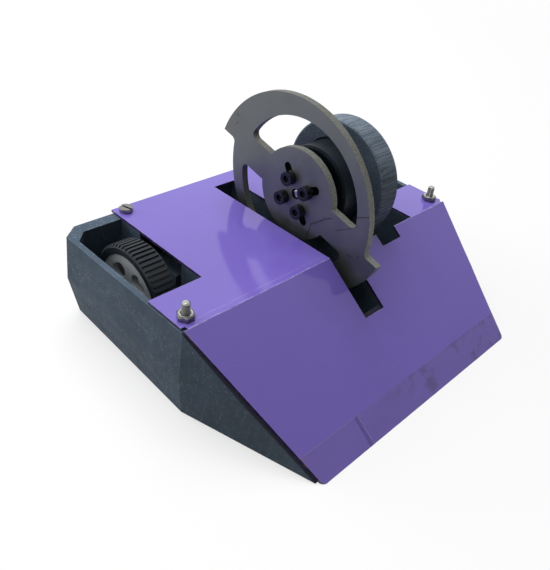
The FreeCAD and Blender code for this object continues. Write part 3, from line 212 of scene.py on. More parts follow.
class EffectShelf:
    """Builds the shared effects on first use and hands out their groups."""

    def __init__(self) -> None:
        """Starts with an empty shelf."""
        self.groups: dict[Effect, NodeTree] = {}

    def use(self, net: Net, effect: Effect, place: Socket, strength: float = 1.0, **inputs: object) -> Socket:
        """Places an effect in a material.

        Args:
            net: The material's nodes.
            effect: Which effect.
            place: Where on the piece, as a vector.
            strength: Factor on the mask.
            **inputs: Further values or outputs by socket name.

        Returns:
            The effect's mask.
        """
        if not self.groups:
            for build in (self.specks, self.blotches, self.edges, self.hairlines, self.stroke):
                build()
        made = net.node("ShaderNodeGroup", {"Place": place, **inputs}, node_tree=self.groups[effect])
        mask = made.outputs["Mask"]
        return mask if strength == 1.0 else net.times(mask, strength)

    def start(self, effect: Effect, floats: dict[str, float],
              vectors: tuple[str, ...] = ("Place",)) -> tuple[Net, dict[str, Socket], Socket]:
        """Empty group with some vectors, some numbers and one mask.

        Args:
            effect: The effect to start.
            floats: Number inputs and their usual values.
            vectors: Vector inputs.

        Returns:
            The group's nodes, its inputs by name, and the mask to feed.
        """
        tree = bpy.data.node_groups.new(effect.value, "ShaderNodeTree")
        self.groups[effect] = tree
        for name in vectors:
            tree.interface.new_socket(name, in_out="INPUT", socket_type="NodeSocketVector")
        for name, usual in floats.items():
            socket = tree.interface.new_socket(name, in_out="INPUT", socket_type="NodeSocketFloat")
            socket.default_value = usual
        tree.interface.new_socket("Mask", in_out="OUTPUT", socket_type="NodeSocketFloat")
        net = Net(tree)
        given = net.node("NodeGroupInput").outputs
        result = net.node("NodeGroupOutput").inputs
        return net, {name: given[name] for name in (*vectors, *floats)}, result["Mask"]

    def specks(self) -> None:
        """Small round specks, some cells holding one and most none."""
        net, given, mask = self.start(Effect.SPECKS, {"Scale": 1000.0, "Share": 0.1, "Size": 0.3})
        cells = net.node("ShaderNodeTexVoronoi", {"Vector": given["Place"], "Scale": given["Scale"]})
        chance = net.node("ShaderNodeSeparateColor", {0: cells.outputs["Color"]}).outputs[0]
        chosen = net.math("LESS_THAN", chance, given["Share"])
        half = net.times(given["Size"], 0.5)
        near = net.band(cells.outputs["Distance"], given["Size"], half)
        net.feed(mask, net.times(chosen, near))

    def blotches(self) -> None:
        """Soft clouds of light and dark."""
        net, given, mask = self.start(Effect.BLOTCHES, {"Scale": 60.0, "Low": 0.35, "High": 0.65})
        cloud = net.noise(given["Place"], given["Scale"], detail=5.0, roughness=0.6)
        net.feed(mask, net.band(cloud, given["Low"], given["High"]))

    def edges(self) -> None:
        """Outer edges, broken up by a cloud."""
        usual = {"Radius": 0.4 * MM, "Low": 0.04, "High": 0.25, "Scale": 500.0}
        net, given, mask = self.start(Effect.EDGES, usual)
        rounded = net.node("ShaderNodeBevel", {"Radius": given["Radius"]}, samples=4).outputs[0]
        straight = net.node("ShaderNodeNewGeometry").outputs["Normal"]
        turn = net.minus(1.0, net.vector("DOT_PRODUCT", rounded, straight))
        edge = net.band(turn, given["Low"], given["High"])
        cloud = net.noise(given["Place"], given["Scale"], roughness=0.5)
        net.feed(mask, net.times(edge, net.band(cloud, 0.3, 0.65)))

    def hairlines(self) -> None:
        """Thin lines along the place's first axis, in short runs."""
        usual = {"Scale": 900.0, "Stretch": 0.04, "Low": 0.55, "High": 0.75}
        net, given, mask = self.start(Effect.HAIRLINES, usual)
        x, y, z = net.split(given["Place"])
        along = net.times(x, given["Stretch"])
        drawn = net.node("ShaderNodeCombineXYZ", {0: along, 1: y, 2: z}).outputs[0]
        cloud = net.noise(drawn, given["Scale"], detail=3.0, roughness=0.6)
        net.feed(mask, net.band(cloud, given["Low"], given["High"]))

    def stroke(self) -> None:
        """One straight mark between two points."""
        net, given, mask = self.start(Effect.STROKE, {"Width": 0.3 * MM}, ("Place", "Start", "Finish"))
        span = net.vector("SUBTRACT", given["Finish"], given["Start"])
        unit = net.vector("NORMALIZE", span)
        offset = net.vector("SUBTRACT", given["Place"], given["Start"])
        along = net.larger(net.vector("DOT_PRODUCT", offset, unit), 0.0)
        along = net.math("MINIMUM", along, net.vector("LENGTH", span))
        nearest = net.node("ShaderNodeVectorMath", {0: unit, "Scale": along}, operation="SCALE").outputs[0]
        far = net.vector("DISTANCE", offset, nearest)
        core = net.times(given["Width"], 0.35)
        net.feed(mask, net.band(far, given["Width"], core))


SHELF = EffectShelf()


@dataclass(frozen=True)
class Finish:
    """A surface finish; each kind draws its own nodes."""

    name: str
    slot: str

    @cache
    def material(self) -> Material:
        """The finish's material, made on first use."""
        made = bpy.data.materials.new(self.name)
        made.use_nodes = True
        self.draw(Net(made.node_tree))
        return made

    def draw(self, net: Net) -> None:
        """Feeds the shader's inputs.

        Args:
            net: The material's nodes.
        """
        raise NotImplementedError


@dataclass(frozen=True)
class PrintedPlastic(Finish):
    """Matte printed plastic with layer lines, pale specks, paler worn edges, painted shade towards its foot
    and on some pieces' end faces, and a painted shadow along the seam.

    The seam is the painted shadow line under the slope's sheet: the slope's lower edge along Y and Z, the
    slope's angle, and how deep under the slope's plane the line reaches.
    """

    colour: Triple = (0.064, 0.093, 0.130)
    speck: Triple = (0.34, 0.41, 0.48)
    edge: Triple = (0.17, 0.22, 0.28)
    painted_seam_shadow: Triple = (0.012, 0.008, 0.020)
    clouding: float = 0.14
    roughness: Pair = (0.48, 0.70)
    gloss: float = 0.25
    layer: float = 0.24 * MM
    layer_relief: float = 0.25
    streaks: float = 0.0
    painted_end_shade: float = 1.0
    end_facing: float = 0.85
    foot: float = 1.8 * MM
    seam_edge: Pair = (0.0, 0.0)
    seam_slope: float = 0.0
    seam_depth: float = 0.0

    def draw(self, net: Net) -> None:
        """Feeds colour, roughness and a layered normal."""
        place = net.place()
        height = net.split(place)[2]
        dark = scaled(self.colour, 1.0 - self.clouding)
        cloud = SHELF.use(net, Effect.BLOTCHES, place, Scale=45.0)
        base = net.mix(cloud, dark, scaled(self.colour, 1.0 + self.clouding))
        ends = net.past(net.math("ABSOLUTE", net.facing(RIGHT)), self.end_facing)
        combed = SHELF.use(net, Effect.HAIRLINES, place, Scale=1500.0, Stretch=0.05, Low=0.40, High=0.62)
        streak = net.times(combed, net.times(net.minus(1.0, ends), self.streaks))
        base = net.mix(streak, base, self.edge)
        # Painted shade: faces that face along X take a darker copy of the colour.
        base = net.mix(ends, base, net.mix(1.0, base, scaled(WHITE, self.painted_end_shade), "MULTIPLY"))
        laid = net.place(scale=(0.5, 0.5, 1.0))
        for strength, scale, share, size in ((0.4, 2600.0, 0.22, 0.42), (0.55, 1200.0, 0.06, 0.26)):
            specks = SHELF.use(net, Effect.SPECKS, laid, strength, Scale=scale, Share=share, Size=size)
            base = net.mix(specks, base, self.speck)
        # Painted shade: darker towards the foot.
        base = net.mix(net.band(height, self.foot, 0.5 * self.foot, to_high=0.45), base, dark)
        worn = SHELF.use(net, Effect.EDGES, place, strength=0.8, Radius=0.6 * MM)
        # Painted shadow: a dark line under the slope's sheet, where wear on the edges is held back.
        if self.seam_depth:
            depth = self.under_slope(net)
            seam = net.band(depth, self.seam_depth, 0.7 * self.seam_depth, to_high=0.85)
            base = net.mix(seam, base, self.painted_seam_shadow)
            worn = net.times(worn, net.band(depth, self.seam_depth, 2.0 * self.seam_depth))
        wave = net.math("SINE", net.times(height, math.tau / self.layer))
        grain = net.noise(place, scale=2600.0, detail=2.0)
        rough = net.plus(net.times(wave, self.layer_relief), net.plus(grain, streak))
        net.shade({
            "Base Color": net.mix(worn, base, self.edge),
            "Roughness": net.band(net.noise(place, scale=300.0), 0.2, 0.8, *self.roughness),
            "Normal": net.bump(rough, distance=0.05 * MM, strength=0.5),
            "Specular IOR Level": self.gloss,
        })

    def under_slope(self, net: Net) -> Socket:
        """How deep a place is under the slope's plane."""
        inward = (0.0, math.sin(self.seam_slope), -math.cos(self.seam_slope))
        return net.vector("DOT_PRODUCT", net.place(shift=(0.0, *scaled(self.seam_edge, -1.0))), inward)


@dataclass(frozen=True)
class PurpleSheet(Finish):
    """Glossy purple sheet with dark cut edges, a fold whitened by stress and a painted highlight, painted
    highlights along its edges, dust and small scuffs.

    A fainter line runs behind the left half of the fold, and fades between two places along X.
    """

    fold_y: float = 0.0
    slope: float = 0.0
    colour: Triple = (0.168, 0.117, 0.490)
    cut: Triple = (0.050, 0.028, 0.120)
    sawn: Triple = (0.100, 0.068, 0.230)
    stress_and_highlight: Triple = (0.54, 0.46, 0.80)
    dust: Triple = (0.05, 0.045, 0.08)
    clouding: float = 0.05
    roughness: Pair = (0.09, 0.14)
    rub: float = 0.12
    fold_rub: float = 0.3
    refraction: float = 1.6
    fine_ripple: float = 0.02
    top_facing: float = 0.8
    fold_sway: float = 1.2 * MM
    fold_line: Pair = (0.30 * MM, 0.08 * MM)
    fold_runs: Pair = (0.08, 0.55)
    second_place: float = 2.3 * MM
    second_line: Pair = (0.30 * MM, 0.10 * MM)
    second_fade: Pair = (5.0 * MM, -25.0 * MM)

    def draw(self, net: Net) -> None:
        """Feeds colour by the way each face looks, and a slightly wavy gloss."""
        place = net.place()
        cloud = SHELF.use(net, Effect.BLOTCHES, place, Scale=14.0, Low=0.3, High=0.7)
        dim, bright = (scaled(self.colour, 1.0 + part) for part in (-self.clouding, self.clouding))
        base = net.mix(cloud, dim, bright)
        marks = self.fold_marks(net, place)
        # The fold's line: stress whitening, and a painted highlight.
        base = net.mix(marks, base, self.stress_and_highlight)
        dark = SHELF.use(net, Effect.SPECKS, place, strength=0.8, Scale=260.0, Share=0.06, Size=0.08)
        base = net.mix(dark, base, self.dust)
        pale = SHELF.use(net, Effect.SPECKS, place, strength=0.35, Scale=210.0, Share=0.05, Size=0.06)
        base = net.mix(pale, base, self.stress_and_highlight)
        sloped = net.facing((0.0, -math.sin(self.slope), math.cos(self.slope)))
        top = net.past(net.larger(net.facing(UP), sloped), self.top_facing)
        sawn = net.mix(net.band(net.noise(place, scale=900.0), 0.5, 0.75), self.cut, self.sawn)
        base = net.mix(top, sawn, base)
        # Painted highlight: pale lines along the sheet's edges, broken up by a cloud.
        edge = SHELF.use(net, Effect.EDGES, place, 0.6, Radius=0.25 * MM, Low=0.01, High=0.15, Scale=420.0)
        rubbed = SHELF.use(net, Effect.HAIRLINES, net.place(turn=(0, 0, 0.9)), strength=self.rub,
                           Scale=260.0, Stretch=0.03, Low=0.62, High=0.8)
        rough = net.plus(net.band(cloud, 0.0, 1.0, *self.roughness), rubbed)
        waves = net.noise(place, scale=55.0, detail=2.0)
        fine = net.noise(place, scale=700.0, detail=2.0)
        relief = net.plus(waves, net.times(fine, self.fine_ripple))
        net.shade({
            "Base Color": net.mix(edge, base, self.stress_and_highlight),
            "Roughness": net.plus(rough, net.times(marks, self.fold_rub)),
            "Normal": net.bump(relief, distance=0.12 * MM, strength=0.35),
            "IOR": self.refraction,
        })

    def fold_marks(self, net: Net, place: Socket) -> Socket:
        """Mask of a line along the bend, whitened by stress and painted as a highlight, slightly wavy, and a
        faint one behind its left half.
        """
        x, y, _ = net.split(place)
        along = net.place(scale=(1.0, 0.0, 0.0))
        sway = net.times(net.minus(net.noise(along, scale=90.0, detail=3.0), 0.5), self.fold_sway)
        off = net.minus(net.plus(y, sway), self.fold_y)
        line = net.band(net.math("ABSOLUTE", off), *self.fold_line)
        broken = net.noise(along, scale=300.0, detail=5.0, roughness=0.7)
        runs = net.band(broken, 0.35, 0.65, *self.fold_runs)
        behind = net.band(net.apart(off, self.second_place), *self.second_line)
        second = net.times(behind, net.band(x, *self.second_fade, to_high=0.4))
        return net.times(net.larger(line, second), runs)


@dataclass(frozen=True)
class MillSteel(Finish):
    """Grey mill-finished plate with granular, paler cut edges and a few rust hairlines."""

    middle: Pair = (0.0, 0.0)
    strokes: tuple[tuple[float, ...], ...] = ()
    colour: Triple = (0.178, 0.190, 0.200)
    shade: Triple = (0.145, 0.155, 0.165)
    sawn: Triple = (0.30, 0.31, 0.28)
    rust: Triple = (0.060, 0.040, 0.026)
    near_hub_dark: Triple = (0.02, 0.02, 0.02)
    roughness: Pair = (0.36, 0.50)
    edge_roughness: float = 0.2
    metallic: float = 0.8
    hub: float = 15.0 * MM
    stroke_sway: float = 1.8 * MM
    stroke_strength: float = 0.65
    facing: float = 0.75
    face_relief: float = 0.12

    def draw(self, net: Net) -> None:
        """Feeds colour and roughness, apart for the faces and for the cut edges."""
        place = net.place()
        cloud = SHELF.use(net, Effect.BLOTCHES, place, Scale=70.0, Low=0.3, High=0.7)
        face = net.mix(cloud, self.shade, self.colour)
        turned = net.place(turn=(1.15, 0.0, 0.0))
        rolled = SHELF.use(net, Effect.HAIRLINES, turned, strength=0.25, Scale=700.0, Low=0.5)
        face = net.mix(rolled, face, self.shade)
        pits = SHELF.use(net, Effect.SPECKS, place, strength=0.7, Scale=230.0, Share=0.06, Size=0.1)
        face = net.mix(pits, face, self.rust)
        from_axis = net.place(scale=(0.0, 1.0, 1.0), shift=(0.0, *scaled(self.middle, -1.0)))
        face = self.marked(net, from_axis, face)
        grain = net.noise(place, scale=2400.0, detail=3.0, roughness=0.7)
        edge = net.mix(net.band(grain, 0.35, 0.65), scaled(self.sawn, 0.5), self.sawn)
        # The cut edges are darker near the hub.
        inner = net.band(net.vector("LENGTH", from_axis), self.hub, 0.8 * self.hub)
        edge = net.mix(inner, edge, self.near_hub_dark)
        flat = net.past(net.math("ABSOLUTE", net.facing(RIGHT)), self.facing)
        smooth = net.band(cloud, 0.0, 1.0, *self.roughness)
        coarse = net.band(flat, 0.0, 1.0, self.edge_roughness, 0.0)
        rough = net.times(grain, net.band(flat, 0.0, 1.0, 1.0, self.face_relief))
        net.shade({
            "Base Color": net.mix(flat, edge, face),
            "Roughness": net.plus(smooth, coarse),
            "Normal": net.bump(rough, distance=0.12 * MM, strength=0.6),
            "Metallic": self.metallic,
        })

    def marked(self, net: Net, from_axis: Socket, face: Socket) -> Socket:
        """Draws the strokes on the left face.

        Args:
            net: The material's nodes.
            from_axis: Where on the plate, seen from its axis.
            face: The face's colour.

        Returns:
            The face's colour with its strokes.
        """
        left = net.past(net.facing(scaled(RIGHT, -1.0)), self.facing)
        inputs = {"Vector": from_axis, "Scale": 260.0, "Detail": 4.0}
        cloudy = net.node("ShaderNodeTexNoise", inputs).outputs["Color"]
        centred = net.vector("SUBTRACT", cloudy, scaled(WHITE, 0.5))
        swayed = net.vector("MULTIPLY", centred, (0.0, self.stroke_sway, self.stroke_sway))
        swayed = net.vector("ADD", from_axis, swayed)
        shown = net.times(left, self.stroke_strength)
        for start_y, start_z, end_y, end_z, width in self.strokes:
            stroke = SHELF.use(net, Effect.STROKE, swayed, Start=(0.0, start_y, start_z),
                               Finish=(0.0, end_y, end_z), Width=width)
            face = net.mix(net.times(stroke, shown), face, self.rust)
        return face


@dataclass(frozen=True)
class PlainMetal(Finish):
    """Plated, anodised, oxidised or turned metal with clouded gloss and rubbed edges.

    On the nut and the thread the bright rubbed edges are painted highlights; on the bell and the black
    screws a bluish tint paints the colour of a reflection.
    """

    colour: Triple = (0.60, 0.59, 0.57)
    rubbed: Triple = (0.75, 0.74, 0.72)
    roughness: float = 0.28
    spread: Pair = (-0.03, 0.06)
    metallic: float = 1.0
    edge_wear_and_highlight: float = 0.5
    shade: float = 0.82
    gloss: float = 0.5
    painted_reflection_tint: Triple = WHITE

    def draw(self, net: Net) -> None:
        """Feeds colour, roughness and a finely scratched normal."""
        place = net.place()
        cloud = SHELF.use(net, Effect.BLOTCHES, place, Scale=420.0, Low=0.3, High=0.7)
        base = net.mix(cloud, scaled(self.colour, self.shade), self.colour)
        # Rubbed edges: wear on most finishes, and a painted highlight on the nut and the thread crests.
        worn = SHELF.use(net, Effect.EDGES, place, strength=self.edge_wear_and_highlight, Radius=0.2 * MM, Scale=1200.0)
        rough = (self.roughness + part for part in self.spread)
        grain = net.noise(place, scale=5200.0, detail=3.0)
        net.shade({
            "Base Color": net.mix(worn, base, self.rubbed),
            "Roughness": net.band(cloud, 0.0, 1.0, *rough),
            "Normal": net.bump(grain, distance=0.01 * MM, strength=0.5),
            "Metallic": self.metallic,
            "Specular IOR Level": self.gloss,
            # A bluish tint here is a painted reflection of bluish surroundings.
            "Specular Tint": self.painted_reflection_tint,
        })


@dataclass(frozen=True)
class Rubber(Finish):
    """Black rubber with a little grey dust on its high places and some lint."""

    colour: Triple = (0.008, 0.012, 0.017)
    dust: Triple = (0.046, 0.058, 0.070)
    lint: Triple = (0.3, 0.3, 0.28)
    dusting: float = 0.15
    roughness: Pair = (0.52, 0.75)

    def draw(self, net: Net) -> None:
        """Feeds colour, roughness and a fine grain."""
        place = net.place()
        cloud = SHELF.use(net, Effect.BLOTCHES, place, Scale=160.0, Low=0.4, High=0.8)
        worn = SHELF.use(net, Effect.EDGES, place, strength=0.35, Radius=0.5 * MM, Scale=700.0)
        base = net.mix(net.plus(net.times(cloud, self.dusting), worn), self.colour, self.dust)
        lint = SHELF.use(net, Effect.SPECKS, place, strength=0.6, Scale=420.0, Share=0.05, Size=0.16)
        grain = net.noise(place, scale=2200.0, detail=3.0)
        net.shade({
            "Base Color": net.mix(lint, base, self.lint),
            "Roughness": net.band(cloud, 0.0, 1.0, *self.roughness),
            "Normal": net.bump(grain, distance=0.05 * MM, strength=0.5),
        })


@dataclass(frozen=True)
class MouldedPlastic(Finish):
    """Moulded plastic, board or sleeve with a soft cloud and slight gloss."""

    colour: Triple = (0.47, 0.49, 0.50)
    dirt: Triple = (0.08, 0.075, 0.07)
    shade: float = 0.88
    roughness: float = 0.45
    spread: Pair = (-0.06, 0.08)

    def draw(self, net: Net) -> None:
        """Feeds colour, roughness and a fine moulded grain."""
        place = net.place()
        cloud = SHELF.use(net, Effect.BLOTCHES, place, Scale=90.0)
        base = net.mix(cloud, scaled(self.colour, self.shade), self.colour)
        dirt = SHELF.use(net, Effect.SPECKS, place, strength=0.5, Scale=500.0, Share=0.04, Size=0.14)
        rough = (self.roughness + part for part in self.spread)
        grain = net.noise(place, scale=1500.0, detail=3.0)
        net.shade({
            "Base Color": net.mix(dirt, base, self.dirt),
            "Roughness": net.band(cloud, 0.0, 1.0, *rough),
            "Normal": net.bump(grain, distance=0.02 * MM, strength=0.6),
        })


@dataclass(frozen=True)
class ClearTape(Finish):
    """Clear tape film, darker where strips lap from the double film and painted shade, with a pale upper
    edge, and smudged on the right strip.

    The strips part at a place along X. At its left end, past the bend, the film is torn.
    """

    foot: Pair = (0.0, 0.0)
    slope: float = 0.0
    width: float = 0.0
    parting: float = 0.0
    lap: float = 0.0
    colour: Triple = (0.28, 0.23, 0.36)
    dirt: Triple = (0.15, 0.14, 0.17)
    lap_film_and_shade: Triple = (0.07, 0.05, 0.15)
    lip: Triple = (0.48, 0.38, 0.56)
    scuff: Triple = (0.46, 0.27, 0.24)
    dash: Triple = (0.02, 0.018, 0.03)
    lip_reach: Pair = (0.35 * MM, 4.0 * MM)
    lip_core: float = 0.15 * MM
    lip_strength: float = 0.6
    end_line: float = 1.1 * MM
    smudge_fade: float = 35.0 * MM
    bend: float = 57.6 * MM
    bend_fade: float = 0.8 * MM
    torn_middle: float = 2.0 * MM
    torn_reach: Pair = (2.2 * MM, 1.0 * MM)
    film: float = 0.12
    smudge_cover: float = 0.2
    mark_cover: float = 0.6
    line_cover: float = 0.7
    roughness: Pair = (0.16, 0.4)

    def draw(self, net: Net) -> None:
        """Feeds colour, gloss and how much of the sheet below is hidden."""
        place = net.place()
        x, y, z = net.split(place)
        rise = net.times(net.minus(z, self.foot[1]), math.sin(self.slope))
        run = net.times(net.minus(y, self.foot[0]), math.cos(self.slope))
        short = net.minus(self.width, net.plus(rise, run))
        right = net.past(x, self.parting)
        line = self.edge_line(net, place, x, short)
        patch = SHELF.use(net, Effect.BLOTCHES, place, Scale=130.0, Low=0.46, High=0.66)
        smudge = net.times(patch, net.band(x, self.parting, self.parting + self.smudge_fade))
        lapped = net.band(net.apart(x, self.parting), self.lap, 0.85 * self.lap)
        # Where the strips lap: darker from the double film and from painted shade.
        base = net.mix(lapped, net.mix(smudge, self.colour, self.dirt), self.lap_film_and_shade)
        low_down = net.band(net.apart(short, self.torn_middle), *self.torn_reach)
        bent = net.times(low_down, net.band(x, -self.bend, -self.bend - self.bend_fade))
        torn = net.times(bent, net.band(net.noise(place, scale=900.0), 0.42, 0.58))
        base = net.mix(torn, base, self.scuff)
        long = net.place(scale=(0.4, 1.0, 1.0))
        dashes = SHELF.use(net, Effect.SPECKS, long, Scale=330.0, Share=0.05, Size=0.12)
        marked = net.times(dashes, right)
        base = net.mix(marked, base, self.dash)
        cover = net.plus(self.film, net.times(smudge, self.smudge_cover))
        cover = net.larger(cover, net.times(net.larger(marked, torn), self.mark_cover))
        net.shade({
            "Base Color": net.mix(line, base, self.lip),
            "Alpha": net.larger(cover, net.times(line, self.line_cover)),
            "Roughness": net.band(patch, 0.0, 1.0, *self.roughness),
            "Normal": net.bump(net.noise(place, scale=160.0), distance=0.1 * MM, strength=0.35),
        })

    def edge_line(self, net: Net, place: Socket, x: Socket, short: Socket) -> Socket:
        """Mask of a pale line along the upper edge, dotted on the right strip, and down the left strip's end.

        Args:
            net: The material's nodes.
            place: Where on the film.
            x: The place along X.
            short: How far the place is below the upper edge.
        """
        right = net.past(x, self.parting)
        dots = SHELF.use(net, Effect.SPECKS, place, strength=0.5, Scale=900.0, Share=0.35, Size=0.5)
        reach = net.blend(right, *self.lip_reach)
        near = net.node("ShaderNodeMapRange", {0: short, 1: reach, 2: self.lip_core}).outputs[0]
        line = net.times(near, net.blend(right, self.lip_strength, dots))
        end = net.apart(x, self.parting + self.end_line)
        return net.larger(line, net.band(end, 0.3 * MM, 0.1 * MM, to_high=self.lip_strength))


PRINT = PrintedPlastic("slate_print", "printed_grey")
# The mount's end faces are darkened as painted shade.
MOUNT_PRINT = PrintedPlastic("slate_print_streaked", "printed_mount", colour=(0.082, 0.110, 0.147),
                             edge=(0.24, 0.29, 0.34), streaks=0.6, painted_end_shade=0.8)
# Bell and black screws: the bluish tint of their gloss is a painted reflection.
BELL_BLACK = PlainMetal("satin_black", "bell_black", colour=(0.009, 0.012, 0.017), rubbed=(0.06, 0.068, 0.08),
                        roughness=0.34, metallic=0.0, edge_wear_and_highlight=0.15, gloss=0.15, painted_reflection_tint=(0.5, 0.72, 1.0))
BLACK_OXIDE = PlainMetal("black_oxide", "black_screw", colour=(0.012, 0.012, 0.016), roughness=0.18, edge_wear_and_highlight=0.2,
                         rubbed=(0.06, 0.06, 0.066), metallic=0.0, gloss=0.35, painted_reflection_tint=(0.6, 0.78, 1.0))
# Nut zinc: its faces darkened as painted shade, its edges bright as painted highlights.
SHADED_ZINC = PlainMetal("zinc_plate_painted_shade", "bright_steel", colour=(0.28, 0.28, 0.27), rubbed=(0.85, 0.84, 0.82),
                  roughness=0.14, edge_wear_and_highlight=0.8, shade=0.6)
# Bright zinc for the nut's face ring and the stud tips: a painted highlight.
HIGHLIT_ZINC = PlainMetal("zinc_painted_highlight", "bright_steel", colour=(0.62, 0.64, 0.61), roughness=0.2)
DULL_ZINC = PlainMetal("dull_zinc", "bright_steel", colour=(0.33, 0.33, 0.32), rubbed=(0.62, 0.61, 0.58),
                       roughness=0.3)
# Thread crests with painted highlights on their edges.
THREAD_CREST_HIGHLIT = PlainMetal("thread_crest_painted_highlight", "bright_steel", colour=(0.34, 0.34, 0.33), roughness=0.16, edge_wear_and_highlight=0.7,
                          rubbed=(0.88, 0.87, 0.85), shade=0.6)
# The stud's core, darkened as painted shade in the thread's valleys.
THREAD_ROOT_SHADED = PlainMetal("thread_root_painted_shade", "bright_steel", colour=(0.12, 0.12, 0.12), roughness=0.35)
GROUND_STEEL = PlainMetal("ground_steel", "shaft_steel", colour=(0.66, 0.66, 0.66), roughness=0.18)
CORE_STEEL = PlainMetal("core_sheet", "core_steel", colour=(0.22, 0.23, 0.26), roughness=0.45)
COPPER = PlainMetal("enamelled_copper", "coil_copper", colour=(0.17, 0.075, 0.038), rubbed=(0.38, 0.19, 0.10),
                    roughness=0.3)
NICKEL = PlainMetal("nickel_plate", "magnet_plate", colour=(0.55, 0.54, 0.52), roughness=0.22)
TURNED = PlainMetal("turned_aluminium", "base_metal", colour=(0.42, 0.42, 0.44), roughness=0.36)
BRASS = PlainMetal("plain_brass", "gearbox_brass", colour=(0.58, 0.40, 0.16), roughness=0.3)
CAN_STEEL = PlainMetal("plated_can", "motor_can", colour=(0.58, 0.58, 0.58), roughness=0.24)
TREAD = Rubber("tread_rubber", "tread_rubber")
RIM_PLASTIC = MouldedPlastic("light_grey_nylon", "rim_plastic")
SLEEVE = MouldedPlastic("battery_sleeve", "battery_wrap", colour=(0.03, 0.045, 0.14), roughness=0.25)
BOARD = MouldedPlastic("solder_mask", "circuit_board", colour=(0.012, 0.10, 0.045), roughness=0.3)


class Body(str, Enum):
    """Rigid bodies of the frame."""

    TUB = "tub"
    ROTOR = "weapon_rotor"
    LEFT_WHEEL = "left_wheel"
    RIGHT_WHEEL = "right_wheel"


def whole(shape: bmesh.types.BMesh) -> list:
    """All corners, edges and faces of a shape."""
    return [*shape.verts, *shape.edges, *shape.faces]


def turns(edge: bmesh.types.BMEdge, degrees: float) -> bool:
    """Whether the faces at an edge turn by more than an angle."""
    return edge.is_manifold and edge.calc_face_angle() > math.radians(degrees)


def cut(shape: bmesh.types.BMesh, point: Iterable[float], outward: Iterable[float]) -> None:
    """Takes off what lies past a plane."""
    bmesh.ops.bisect_plane(shape, geom=whole(shape), plane_co=point, plane_no=outward, clear_outer=True)


def placed(name: str, data: bpy.types.ID) -> Object:
    """New object in the scene, with its mesh, lamp or lens."""
    made = bpy.data.objects.new(name, data)
    bpy.context.scene.collection.objects.link(made)
    return made


def settle(shape: bmesh.types.BMesh, name: str, finish: Finish, body: Body, *nodes: str,
           sharp: float = SHARP_DEG) -> None:
    """Makes a piece of a shape, with its finish, its body and the nodes that it stands for.

    Args:
        shape: The shape, in place, which is freed.
        name: The piece's name.
        finish: Its finish.
        body: The body that it moves with.
        *nodes: CAD nodes that it replaces.
        sharp: Angle, in degrees, past which an edge stays sharp.
    """
    bmesh.ops.recalc_face_normals(shape, faces=shape.faces)
    for face in shape.faces:
        face.smooth = True
    for edge in shape.edges:
        edge.smooth = not turns(edge, sharp)
    mesh = bpy.data.meshes.new(name)
    shape.to_mesh(mesh)
    shape.free()
    mesh.materials.append(finish.material())
    piece = placed(name, mesh)
    piece.modifiers.new("even_shading", "WEIGHTED_NORMAL").keep_sharp = True
    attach(piece, body.value)
    if nodes:
        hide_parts(*nodes)
    LOG.info("%s: %d faces on %s", piece.name, len(mesh.polygons), body.value)


@dataclass
class Workshop:
    """The loaded frame and ways to refine its nodes."""

    nodes: dict[str, Object]

    def copy(self, node: str) -> bmesh.types.BMesh:
        """Merged copy of a node's mesh, with flat stretches joined into single faces."""
        shape = bmesh.new()
        shape.from_mesh(self.nodes[node].data)
        bmesh.ops.remove_doubles(shape, verts=shape.verts, dist=MERGE)
        flat = math.radians(FLAT_DEG)
        bmesh.ops.dissolve_limit(shape, angle_limit=flat, verts=shape.verts, edges=shape.edges)
        return shape

    def refine(self, node: str, finish: Finish, body: Body, bevel: float, segments: int = 2,
               sharp: float = SHARP_DEG) -> None:
        """Makes a piece with a node's shape and softened edges, in place of that node.

        Args:
            node: The CAD node.
            finish: The piece's finish.
            body: The node's body.
            bevel: Width of the softened edges.
            segments: Steps across each softened edge.
            sharp: Angle, in degrees, past which an edge stays sharp.
        """
        shape = self.copy(node)
        edges = [edge for edge in shape.edges if turns(edge, SOFT_DEG)]
        bmesh.ops.bevel(shape, geom=edges, offset=bevel, segments=segments, profile=0.5, affect="EDGES",
                        material=-1, clamp_overlap=True, loop_slide=True)
        settle(shape, node + "_finished", finish, body, node, sharp=sharp)


